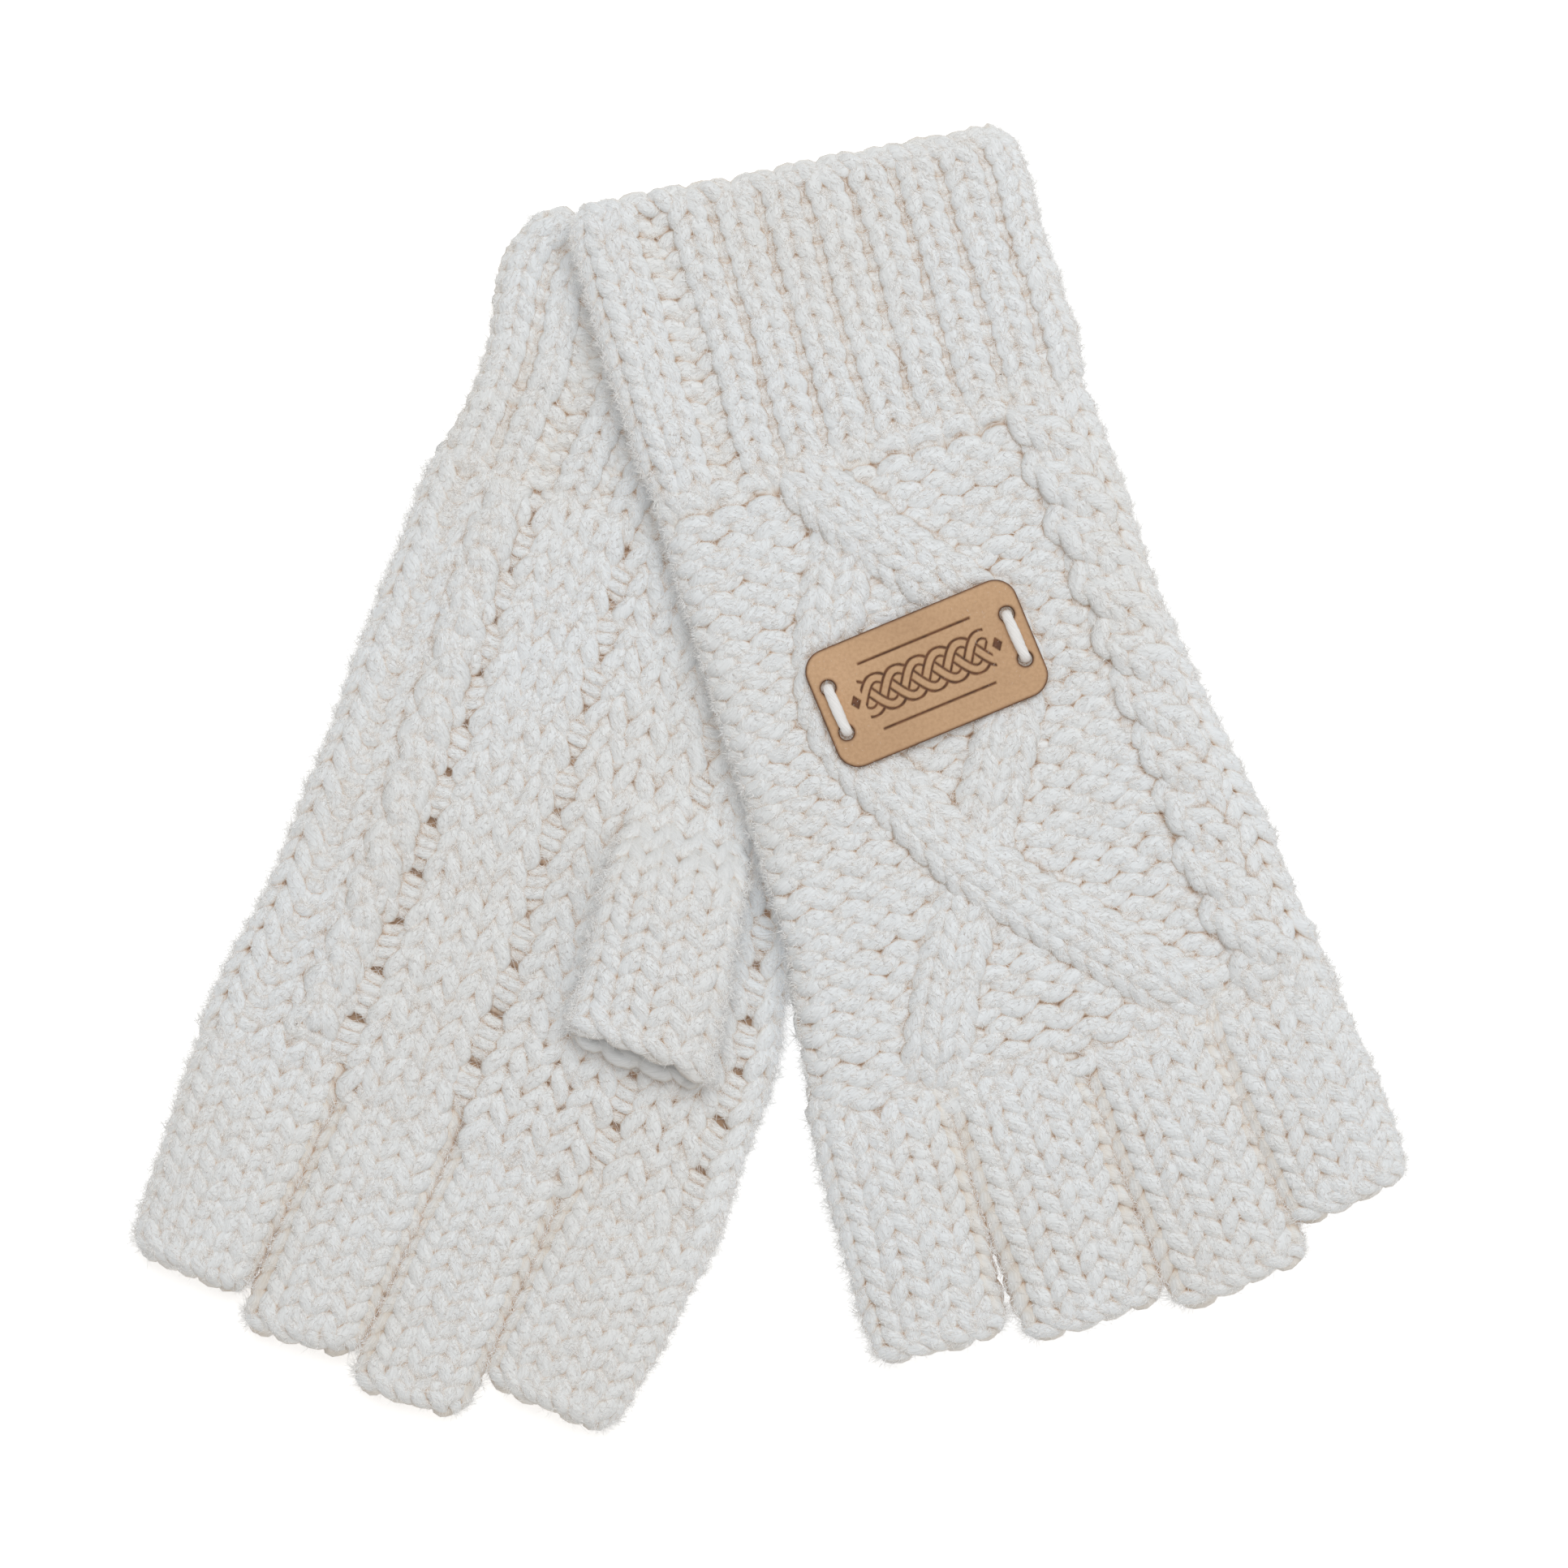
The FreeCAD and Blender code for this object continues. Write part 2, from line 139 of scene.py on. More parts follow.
# Label and ties, in millimetres
LABEL_CORNER = 4.2
LABEL_STEP = 0.17
LABEL_BEVEL = 0.35
HOLE_ACROSS = 17.7
HOLE_ALONG = 4.45
HOLE_RADIUS = 1.35
ENGRAVING_DEPTH = 0.3
LINE_HALF_WIDTH = 0.14
PLAIT_LENGTH = 25.0
PLAIT_PERIOD = 12.5
PLAIT_SWING = 2.9
PLAIT_HALF_WIDTH = 0.8
RULED_LINE = 6.4
TIE_RADIUS = 0.88
TIE_TOP = 2.42

JOINTS = {joint["name"]: joint for joint in frame["joints"]}


# ---------------------------------------------------------------- reading the frame

def node_points(*nodes):
    """Vertices of CAD nodes, in millimetres."""
    sets = []
    for node in nodes:
        mesh = frame["nodes"][node].data
        flat = np.empty(len(mesh.vertices) * 3)
        mesh.vertices.foreach_get("co", flat)
        sets.append(flat.reshape(-1, 3))
    return np.concatenate(sets) / MM


def turned(points, angle):
    """Points turned about Z by -angle, which puts a glove upright."""
    cosine, sine = math.cos(angle), math.sin(angle)
    x = points[..., 0] * cosine + points[..., 1] * sine
    y = -points[..., 0] * sine + points[..., 1] * cosine
    return np.stack([x, y, points[..., 2]], axis=-1)


def turned_back(x, y, z, angle, origin=(0.0, 0.0)):
    """Row points of places in a frame that is turned about Z by an angle round its origin."""
    cosine, sine = math.cos(angle), math.sin(angle)
    return np.stack(
        [origin[0] + x * cosine - y * sine, origin[1] + x * sine + y * cosine, z], axis=-1)


def smooth_curve(stations, values, width=7.0):
    """A soft curve through stations: straight pieces blurred over a width in millimetres."""
    order = np.argsort(stations)
    stations, values = np.asarray(stations, float)[order], np.asarray(values, float)[order]
    fine = np.arange(stations[0] - 3 * width, stations[-1] + 3 * width, 0.5)
    first = (values[1] - values[0]) / (stations[1] - stations[0])
    last = (values[-1] - values[-2]) / (stations[-1] - stations[-2])
    raw = np.interp(fine, stations, values)
    raw = np.where(fine < stations[0], values[0] + (fine - stations[0]) * first, raw)
    raw = np.where(fine > stations[-1], values[-1] + (fine - stations[-1]) * last, raw)
    kernel = np.exp(-0.5 * (np.arange(-3 * width, 3 * width + 0.5, 0.5) / (width / 2)) ** 2)
    kernel /= kernel.sum()
    padded = np.pad(raw, len(kernel) // 2, mode="reflect", reflect_type="odd")
    soft = np.convolve(padded, kernel, mode="valid")[: len(fine)]
    return lambda y: np.interp(y, fine, soft)


def edge_curve(glove, side):
    """Outer edge of the hand, as a function of the distance along it, read off the side seam."""
    local = GLOVES[glove].to_local(node_points(f"{glove}_{side}_side_seam"))
    sign = -1 if side == "little" else 1
    stations, values = [], []
    for low in np.arange(-130.0, 4.0, 3.0):
        chosen = local[(local[:, 1] >= low) & (local[:, 1] < low + 3.0)]
        if len(chosen):
            best = chosen[np.argmax(sign * chosen[:, 0])]
            stations.append(best[1])
            values.append(best[0])
    cuff = GLOVES[glove].to_local(node_points(f"{glove}_cuff"))
    half = cuff[:, 0].max() if sign > 0 else cuff[:, 0].min()
    stations.append(cuff[:, 1].max())
    values.append(half)
    return smooth_curve(stations, values)


class Glove:
    """A glove's own frame: wrist middle at the origin, fingers towards -Y, as in the CAD."""

    def __init__(self, name, turn_joint):
        axis = JOINTS[turn_joint]["axis"]
        self.name = name
        self.turn = math.atan(axis[1] / axis[0])
        panels = node_points(f"{name}_back_panel", f"{name}_palm_panel")
        upright = turned(panels, self.turn)
        wrist = upright[:, 1].max()
        edge = upright[upright[:, 1] > wrist - 0.05]
        self.origin = np.array([(edge[:, 0].min() + edge[:, 0].max()) / 2, wrist, 0.0])
        self.middle = (panels[:, 2].min() + panels[:, 2].max()) / 2
        self.hand_end = upright[:, 1].min() - wrist
        cuff = self.to_local(node_points(f"{name}_cuff"))
        self.cuff_end = cuff[:, 1].max()

    def to_local(self, points):
        return turned(points, self.turn) - self.origin

    def to_world(self, x, y, z):
        """Row coordinates of points given in the glove's frame, z measured from the table."""
        return turned_back(x + self.origin[0], y + self.origin[1], z, self.turn)


GLOVES = {
    "left": Glove("left", "left_middle_fold"),
    "right": Glove("right", "right_wrist_fold"),
}


# ---------------------------------------------------------------- surfaces that yarn lies on

class FlatTube:
    """The middle surface of a flattened knitted tube.

    A place on it is a column c, from 0 at the left edge over the top to 1 at the right edge and
    back underneath to 2, and a distance y along the tube.
    """

    def __init__(self, left, right, middle, half, to_world, crown=None, lid=None, lip=None):
        self.left, self.right = left, right
        self.middle, self.half = middle, half
        self.to_world = to_world
        self.crown = crown
        self.lid = lid
        self.lip = lip

    def section(self, y):
        left, right, half = self.left(y), self.right(y), self.half(y)
        span = right - left - 2 * half + math.pi * half
        return left, right, half, span

    def column(self, x, y):
        """The column over the tube's flat top at a distance x across."""
        left, right, half, span = self.section(y)
        return (x - left - half + math.pi * half / 2) / span

    def place(self, c, y, n):
        """World points at height n off the sheet, and the sheet's outward normals."""
        c = np.mod(c, 2.0)
        left, right, half, span = self.section(y)
        under = c > 1
        along = np.where(under, 2 - c, c) * span
        quarter = math.pi * half / 2
        start = np.clip(along / half, None, math.pi / 2)
        stop = np.clip((span - along) / half, None, math.pi / 2)
        flat = np.clip(along, quarter, span - quarter) - quarter
        in_left, in_right = along < quarter, along > span - quarter
        normal_x = np.where(in_left, -np.cos(start), np.where(in_right, np.cos(stop), 0.0))
        normal_z = np.where(in_left, np.sin(start), np.where(in_right, np.sin(stop), 1.0))
        centre_x = left + half + flat
        side = np.where(under, -1.0, 1.0)
        if self.lid is not None:
            n = np.where(under, n, np.minimum(n, self.lid(centre_x, y)))
        x = centre_x + (half + n) * normal_x
        z = self.middle(y) + side * (half + n) * normal_z
        if self.crown is not None:
            share = (2 * centre_x - left - right) / (right - left)
            z = z + np.where(under, 0.0, self.crown(y) * (1 - share ** 2))
        if self.lip is not None:
            y = y - self.lip(y) * (1 - side * normal_z) / 2
        x = x + UNEVEN * np.sin(y / 7.3 + c * 3.1) * np.sin(y / 17.0 + c * 9.0 + 1.0)
        points = self.to_world(x, y, z)
        base = self.to_world(np.zeros_like(x), y, self.middle(y) + np.zeros_like(x))
        tip = self.to_world(normal_x, y, self.middle(y) + side * normal_z)
        return points, tip - base


class Band:
    """A rounded strip that lies on a tube's top and follows a path of (across, along) places.

    The second coordinate runs along the strip, from 0 at its start to -length at its end.
    """

    def __init__(self, tube, path, top, end, width, height):
        self.tube, self.width, self.height = tube, width, height
        self.y = np.linspace(top, end, 400)
        self.x = path(self.y)
        slope_x, slope_y = np.gradient(self.x), np.gradient(self.y)
        step = np.hypot(slope_x, slope_y)
        self.run = np.concatenate([[0.0], np.cumsum((step[1:] + step[:-1]) / 2)])
        self.side_x, self.side_y = -slope_y / step, slope_x / step
        self.length = self.run[-1]

    def place(self, c, along, n):
        across = (2 * c - 1) * self.width / 2
        run = np.clip(-along, -5.0, self.length + 5.0)
        beyond = run - np.clip(run, 0.0, self.length)
        side_x = np.interp(run, self.run, self.side_x)
        side_y = np.interp(run, self.run, self.side_y)
        x = np.interp(run, self.run, self.x) + across * side_x + beyond * side_y
        y = np.interp(run, self.run, self.y) + across * side_y - beyond * side_x
        crown = self.height(y) + BAND_ROUND * (1 - np.abs(2 * c - 1) ** 2.4)
        return self.tube.place(self.tube.column(x, y), y, n + crown)


# ---------------------------------------------------------------- yarn

class YarnMesh:
    """Collects swept yarns and turns them into one mesh object."""

    def __init__(self):
        self.strands = []
        self.slabs = []

    def add(self, points, normals, radius, depth, sides=SIDES):
        """Strands as arrays: points and normals (strand, sample, 3), radius and depth alike."""
        for index in range(len(points)):
            self.strands.append((points[index], normals[index], radius[index], depth[index], sides))

    def add_shaded_lining(self, surface, y_span, column_span, outer=-0.9, inner=-1.5, press=None):
        """The felted inside of the knit: a thin closed sheet behind the yarns, in painted shade where
        gaps show it.
        """
        rows = max(int(abs(y_span[1] - y_span[0]) / 2.0), 2)
        columns = max(int(70 * (column_span[1] - column_span[0])), 2)
        y = np.linspace(*y_span, rows + 1)[:, None] + np.zeros((1, columns + 1))
        column = np.linspace(*column_span, columns + 1)[None] + np.zeros((rows + 1, 1))
        sink = press(column, y) if press is not None else 0.0
        heights = [outer + sink + 0 * y, inner + sink + 0 * y]
        sheets = [surface.place(column, y, n)[0] for n in heights]
        self.slabs.append((sheets, heights, column, y))

    def build(self, name, material):
        parts = MeshParts()
        count = len(self.strands)
        for number, (points, normals, radius, depth, sides) in enumerate(self.strands):
            samples = len(points)
            ring, height = sweep_ring(points, normals, radius, sides)
            step = np.linalg.norm(np.diff(points, axis=0), axis=1)
            run = np.concatenate([[0.0], np.cumsum(step)])
            around = np.arange(sides + 1) / sides
            band = LINING_BAND + (1 - LINING_BAND) * (number + 0.04 + 0.92 * around) / count
            bake = corner_uv(band, 0.002 + 0.996 * run / run[-1], samples, sides)
            caps = np.stack([np.arange(sides)[::-1], np.arange(sides) + (samples - 1) * sides])
            parts.add(
                ring.reshape(-1, 3), yarn_shade_height(depth[:, None], height, radius[:, None]).ravel(),
                [(grid_quads(samples, sides), corner_uv(around, run / 10.0, samples, sides), bake),
                 (caps, None, None)])
        for sheets, heights, column, y in self.slabs:
            faces = slab_quads(*column.shape)
            place = np.stack([column.ravel() * 8, y.ravel() / 10.0], axis=-1)
            share = np.stack([
                0.002 + (LINING_BAND - 0.004) * (column - column.min()).ravel() / np.ptp(column),
                0.002 + 0.996 * (y - y.min()).ravel() / np.ptp(y)], axis=-1)
            parts.add(
                np.stack(sheets).reshape(-1, 3), np.stack(heights).ravel(),
                [(faces, np.tile(place, (2, 1))[faces.ravel()],
                  np.tile(share, (2, 1))[faces.ravel()])])
        return parts.make(name, material)

    def build_fuzz(self, name, material, rng):
        """Loose fibres that stand off the yarns on the side that faces up, as thin closed spikes."""
        points = np.concatenate([strand[0][1:-1] for strand in self.strands])
        normals = np.concatenate([strand[1][1:-1] for strand in self.strands])
        tangents = np.concatenate([strand[0][2:] - strand[0][:-2] for strand in self.strands])
        radii = np.concatenate([strand[2][1:-1] for strand in self.strands])
        depths = np.concatenate([strand[3][1:-1] for strand in self.strands])
        steps = np.linalg.norm(tangents, axis=1) / 2
        shown = (normals[:, 2] > -0.15) & (depths > -1.0)
        at_edge = np.clip(1.2 - 1.5 * np.abs(normals[:, 2]), 0, 1)
        chance = np.where(shown, steps * (1 + FUZZ_AT_EDGES * at_edge), 0.0)
        total = int(chance.sum() * FUZZ_DENSITY)
        chosen = rng.choice(len(points), size=total, p=chance / chance.sum())
        tangent = tangents[chosen] / (2 * steps[chosen, None] + 1e-9)
        normal = normals[chosen]
        side = np.cross(tangent, normal)
        tilt = rng.uniform(-1.3, 1.3, (total, 1))
        out = np.cos(tilt) * normal + np.sin(tilt) * side
        root = points[chosen] + out * radii[chosen, None] * 0.9
        swing = rng.uniform(-0.9, 0.9, (total, 1))
        heading = rng.choice([-1.0, 1.0], (total, 1)) * (
            np.cos(swing) * tangent + np.sin(swing) * np.cross(tangent, out))
        length = rng.uniform(*FUZZ_LENGTH, (total, 1))
        lift = rng.uniform(*FUZZ_LIFT, (total, 1))
        tip = root + length * (heading * np.cos(lift) + out * np.sin(lift))
        width = rng.uniform(*FUZZ_RADIUS, (total, 1))
        flank = np.cross(heading, out)
        lean = np.cross(flank, tip - root) / length
        base = [root + width * (math.cos(angle) * flank + math.sin(angle) * lean)
                for angle in (0.0, TAU / 3, 2 * TAU / 3)]
        vertices = np.stack([*base, tip], axis=1)
        spike = np.array([(0, 2, 1), (3, 0, 1), (3, 1, 2), (3, 2, 0)])
        made = []
        for group in np.array_split(vertices, math.ceil(total / FUZZ_IN_A_PIECE)):
            faces = (spike[None] + 4 * np.arange(len(group))[:, None, None]).reshape(-1, 3)
            parts = MeshParts()
            parts.add(group.reshape(-1, 3), np.full(len(group) * 4, FUZZ_TINT), [(faces, None, None)])
            made.append(parts.make(f"{name}_{len(made) + 1}", material))
        return made


def yarn_shade_height(depth, height, radius):
    """How far a point of a yarn stands out of the knit, on the outside and the inside alike; it sets
    painted shade and highlight.
    """
    return depth * np.clip(3 * height, -1, 1) + np.abs(height) * radius


class MeshParts:
    """Vertices and faces gathered for one mesh; make() turns them into an object."""

    def __init__(self):
        self.vertices, self.tints, self.groups = [], [], []
        self.offset = 0

    def add(self, vertices, tints, groups):
        for faces, twist, bake in groups:
            spare = np.full((faces.size, 2), 0.001)
            self.groups.append((
                faces + self.offset, spare if twist is None else twist, spare if bake is None else bake))
        self.vertices.append(vertices)
        self.tints.append(tints)
        self.offset += len(vertices)

    def make(self, name, material):
        mesh = bpy.data.meshes.new(name)
        vertices = np.concatenate(self.vertices)
        mesh.vertices.add(len(vertices))
        mesh.vertices.foreach_set("co", (vertices * MM).astype(np.float32).ravel())
        corners = np.concatenate([faces.ravel() for faces, _, _ in self.groups])
        totals = np.concatenate([np.full(len(faces), faces.shape[1]) for faces, _, _ in self.groups])
        starts = np.concatenate([[0], np.cumsum(totals)[:-1]])
        mesh.loops.add(len(corners))
        mesh.loops.foreach_set("vertex_index", corners.astype(np.int32))
        mesh.polygons.add(len(totals))
        mesh.polygons.foreach_set("loop_start", starts.astype(np.int32))
        mesh.polygons.foreach_set("loop_total", totals.astype(np.int32))
        mesh.polygons.foreach_set("use_smooth", np.full(len(totals), True))
        for layer_name, number in (("Twist", 1), ("OFBake", 2)):
            layer = mesh.uv_layers.new(name=layer_name)
            uv = np.concatenate([group[number] for group in self.groups])
            layer.data.foreach_set("uv", uv.astype(np.float32).ravel())
        # The depth attribute holds heights for the yarn's painted shade and highlight, and burn amounts
        # for the leather.
        attribute = mesh.attributes.new("depth", "FLOAT", "POINT")
        attribute.data.foreach_set("value", np.concatenate(self.tints).astype(np.float32))
        mesh.update()
        mesh.validate()
        mesh.materials.append(material)
        obj = bpy.data.objects.new(name, mesh)
        bpy.context.scene.collection.objects.link(obj)
        return obj


def grid_quads(samples, sides):
    """Quads between neighbouring rings of a closed tube."""
    ring = np.arange(sides)
    rows = np.arange(samples - 1)[:, None] * sides
    after = (ring + 1) % sides
    quads = np.stack([rows + ring, rows + after, rows + sides + after, rows + sides + ring], axis=-1)
    return quads.reshape(-1, 4)


def slab_quads(rows, columns):
    """Quads of a closed slab: an outer sheet, an inner sheet and the four edges between them."""
    index = np.arange(rows * columns).reshape(rows, columns)
    inner = index + rows * columns
    quads = [
        np.stack([index[:-1, :-1], index[1:, :-1], index[1:, 1:], index[:-1, 1:]], axis=-1),
        np.stack([inner[:-1, :-1], inner[:-1, 1:], inner[1:, 1:], inner[1:, :-1]], axis=-1)]
    for outer_edge, inner_edge in (
            (index[0], inner[0]), (index[-1, ::-1], inner[-1, ::-1]),
            (index[::-1, 0], inner[::-1, 0]), (index[:, -1], inner[:, -1])):
        quads.append(np.stack(
            [outer_edge[:-1], outer_edge[1:], inner_edge[1:], inner_edge[:-1]], axis=-1))
    return np.concatenate([part.reshape(-1, 4) for part in quads])


def corner_uv(around, along, samples, sides):
    """UV of each quad's corners, with its own last column so that nothing wraps."""
    first, after = around[:-1], around[1:]
    low, high = along[:-1, None], along[1:, None]
    u = np.stack(np.broadcast_arrays(first, after, after, first), axis=-1)
    v = np.stack(np.broadcast_arrays(low, low, high, high), axis=-1)
    u = np.broadcast_to(u[None], (samples - 1, sides, 4))
    v = np.broadcast_to(v, (samples - 1, 1, 4)).repeat(sides, axis=1)
    return np.stack([u, v], axis=-1).reshape(-1, 2)


def sweep_ring(points, normals, radius, sides):
    """Rings of a yarn round its centre line, slightly flattened against the sheet."""
    tangent = np.gradient(points, axis=0)
    tangent /= np.linalg.norm(tangent, axis=1, keepdims=True)
    side = np.cross(tangent, normals)
    side /= np.linalg.norm(side, axis=1, keepdims=True) + 1e-9
    up = np.cross(side, tangent)
    angle = np.arange(sides) / sides * TAU
    run = np.concatenate([[0.0], np.cumsum(np.linalg.norm(np.diff(points, axis=0), axis=1))])
    ply = 1 + PLY_SWELL * np.cos(2 * angle[None] - run[:, None] * TAU / PLY_TURN)
    ply = ply + WOOLLY * np.sin(run[:, None] * 4.1 + angle[None] * 3 + points[:, :1] * 1.7)
    ply = ply + WOOLLY * np.sin(run[:, None] * 2.3 - angle[None] * 2 + points[:, 1:2] * 2.9)
    across = np.cos(angle)[None] * radius[:, None] * ply * FLATTEN[0]
    above = np.sin(angle)[None] * radius[:, None] * ply * FLATTEN[1]
    ring = points[:, None] + across[..., None] * side[:, None] + above[..., None] * up[:, None]
    lean = np.abs(np.sum(up * normals, axis=1))[:, None]
    return ring, np.sin(angle)[None] * ply * lean


# ---------------------------------------------------------------- knitting

def lay_courses(surface, chart, top, pitch, rng, widths=None, relief=None, span=(0.0, 1.0),
                radius=YARN_RADIUS, press=None, sway=None, stand=LOOP_DEPTH, lean=LOOP_SPREAD):
    """Centre lines of a knitted piece, one strand for each course, on a surface.

    chart holds one code for each stitch, courses down from `top` and wales across. Heads of the
    loops point to the fingers. The legs and feet of a stitch stand in front for a knit stitch and
    behind for a purl one; its head follows the stitch that is drawn through it in the next course.
    """
    chart = np.asarray(chart)
    courses, wales = chart.shape
    widths = np.ones(wales) if widths is None else np.asarray(widths, float)
    relief = np.zeros((courses, wales)) if relief is None else np.asarray(relief, float)
    edges = np.concatenate([[0.0], np.cumsum(widths)]) / widths.sum()
    edges = span[0] + edges * (span[1] - span[0])
    samples = wales * STEPS + 1
    index = np.minimum(np.arange(samples) // STEPS, wales - 1)
    turn = (np.arange(samples) - index * STEPS) / STEPS * TAU - math.pi
    closed = abs(span[1] - span[0]) == 2.0
    beside = index + np.where(turn < 0, -1, 1)
    beside = beside % wales if closed else np.clip(beside, 0, wales - 1)

    def mixed(table):
        """A value for each stitch, eased into its neighbours' at the stitch's sides."""
        share = np.abs(turn) / TAU
        return table[:, index] * (1 - share) + table[:, beside] * share

    jitter = [rng.normal(0, 1, (courses, wales)) for _ in range(5)]
    own, neighbour = chart[:, index], chart[:, beside]
    following = np.vstack([chart[1:], chart[-1:]])[:, index]
    at_foot = np.clip((np.abs(turn) - 0.75 * math.pi) / (0.25 * math.pi), 0, 1)
    below = own * (1 - at_foot / 2) + neighbour * at_foot / 2
    facing = np.where(np.abs(turn) < math.pi / 4, following, below)
    looped = (own != LADDER).astype(float)
    spread = lean * (1 + 0.08 * mixed(jitter[0])) * looped
    shift = turn / TAU + spread * np.sin(2 * turn) + 0.028 * mixed(jitter[1])
    centre = (edges[:-1] + edges[1:])[index] / 2
    width = np.diff(edges)[index]
    course_y = top - (np.arange(courses)[:, None] + 0.5) * pitch
    if sway is not None:
        shift = shift + mixed(np.asarray(sway) * np.sin(course_y * TAU / BUNDLE_PITCH))
    column = centre + shift * width
    reach = LOOP_REACH * pitch * (1 + 0.05 * mixed(jitter[2]))
    rise = np.where(looped > 0, np.cos(turn), -1.0)
    y = course_y - reach * rise + 0.16 * mixed(jitter[3])
    n = -facing * stand * np.cos(2 * turn) + mixed(relief) + 0.12 * mixed(jitter[4])
    n = np.where(looped > 0, n, n - 1.2)
    if press is not None:
        n = n + press(column, y)
    thick = radius * (1 + 0.05 * mixed(jitter[1])) * np.where(looped > 0, 1.0, 0.72)
    points, normals = surface.place(column, y, n)
    return points, normals, thick, n


def lay_rim(surface, y, wales, rng, wave=None):
    """A rolled edge: two yarns that twist round each other all the way round the rim.

    wave holds a height for each wale, which the rim follows outwards and away from the sheet.
    """
    samples = wales * 16 + 1
    share = np.linspace(0, 1, samples)
    wave = np.zeros(wales) if wave is None else np.asarray(wave, float)
    ring = np.concatenate([wave, wave[:1]])
    follow = np.interp(share * wales, np.arange(wales + 1) + 0.5, ring, period=wales)
    turns = round(wales * RIM_TURNS)
    strands = []
    for phase in (0.0, math.pi):
        wobble = np.interp(share * wales, np.arange(wales + 1), rng.normal(0, 1, wales + 1))
        wind = share * turns * TAU + phase
        run = y + RIM_SWELL * np.cos(wind) + 0.2 * wobble + 0.9 * follow
        n = RIM_LIFT + RIM_SWELL * np.sin(wind) + 0.12 * wobble + 0.6 * follow
        points, normals = surface.place(2 * share[None], run[None], n[None])
        thick = np.full((1, samples), RIM_RADIUS) * (1 + 0.04 * wobble)
        strands.append((points, normals, thick, n[None]))
    return tuple(np.concatenate(part) for part in zip(*strands))


def repeat_chart(courses, wales):
    """The same line of stitch codes in every course."""
    return np.tile(np.asarray(wales), (courses, 1))


# ---------------------------------------------------------------- materials

class Nodes:
    """A short way to write a material's node tree."""

    def __init__(self, name):
        self.material = bpy.data.materials.new(name)
        self.material.use_nodes = True
        self.tree = self.material.node_tree
        self.tree.nodes.clear()

    def add(self, kind, inputs=None, **settings):
        made = self.tree.nodes.new(kind)
        for key, value in settings.items():
            setattr(made, key, value)
        for key, value in (inputs or {}).items():
            self.feed(made.inputs[key], value)
        return made

    def feed(self, socket, value):
        if isinstance(value, bpy.types.NodeSocket):
            self.tree.links.new(value, socket)
        else:
            socket.default_value = value

    def math(self, operation, first, second=0.0, third=0.0):
        made = self.add("ShaderNodeMath", {0: first, 1: second, 2: third}, operation=operation)
        return made.outputs[0]

    def ramp(self, factor, stops):
        made = self.add("ShaderNodeValToRGB", {"Fac": factor})
        elements = made.color_ramp.elements
        elements[0].position, elements[0].color = stops[0][0], (*stops[0][1], 1)
        elements[1].position, elements[1].color = stops[-1][0], (*stops[-1][1], 1)
        for place, colour in stops[1:-1]:
            elements.new(place).color = (*colour, 1)
        return made.outputs["Color"]

    def mix(self, factor, first, second, blend_type="MIX"):
        made = self.add("ShaderNodeMix", data_type="RGBA", blend_type=blend_type)
        self.feed(made.inputs["Factor"], factor)
        self.feed(made.inputs["A"], first)
        self.feed(made.inputs["B"], second)
        return made.outputs["Result"]

    def finish(self, colour, roughness, normal=None, **more):
        shader = self.add("ShaderNodeBsdfPrincipled", {"Base Color": colour, "Roughness": roughness})
        if normal is not None:
            self.feed(shader.inputs["Normal"], normal)
        for key, value in more.items():
            self.feed(shader.inputs[key.replace("_", " ")], value)
        output = self.add("ShaderNodeOutputMaterial")
        self.tree.links.new(shader.outputs["BSDF"], output.inputs["Surface"])
        return self.material


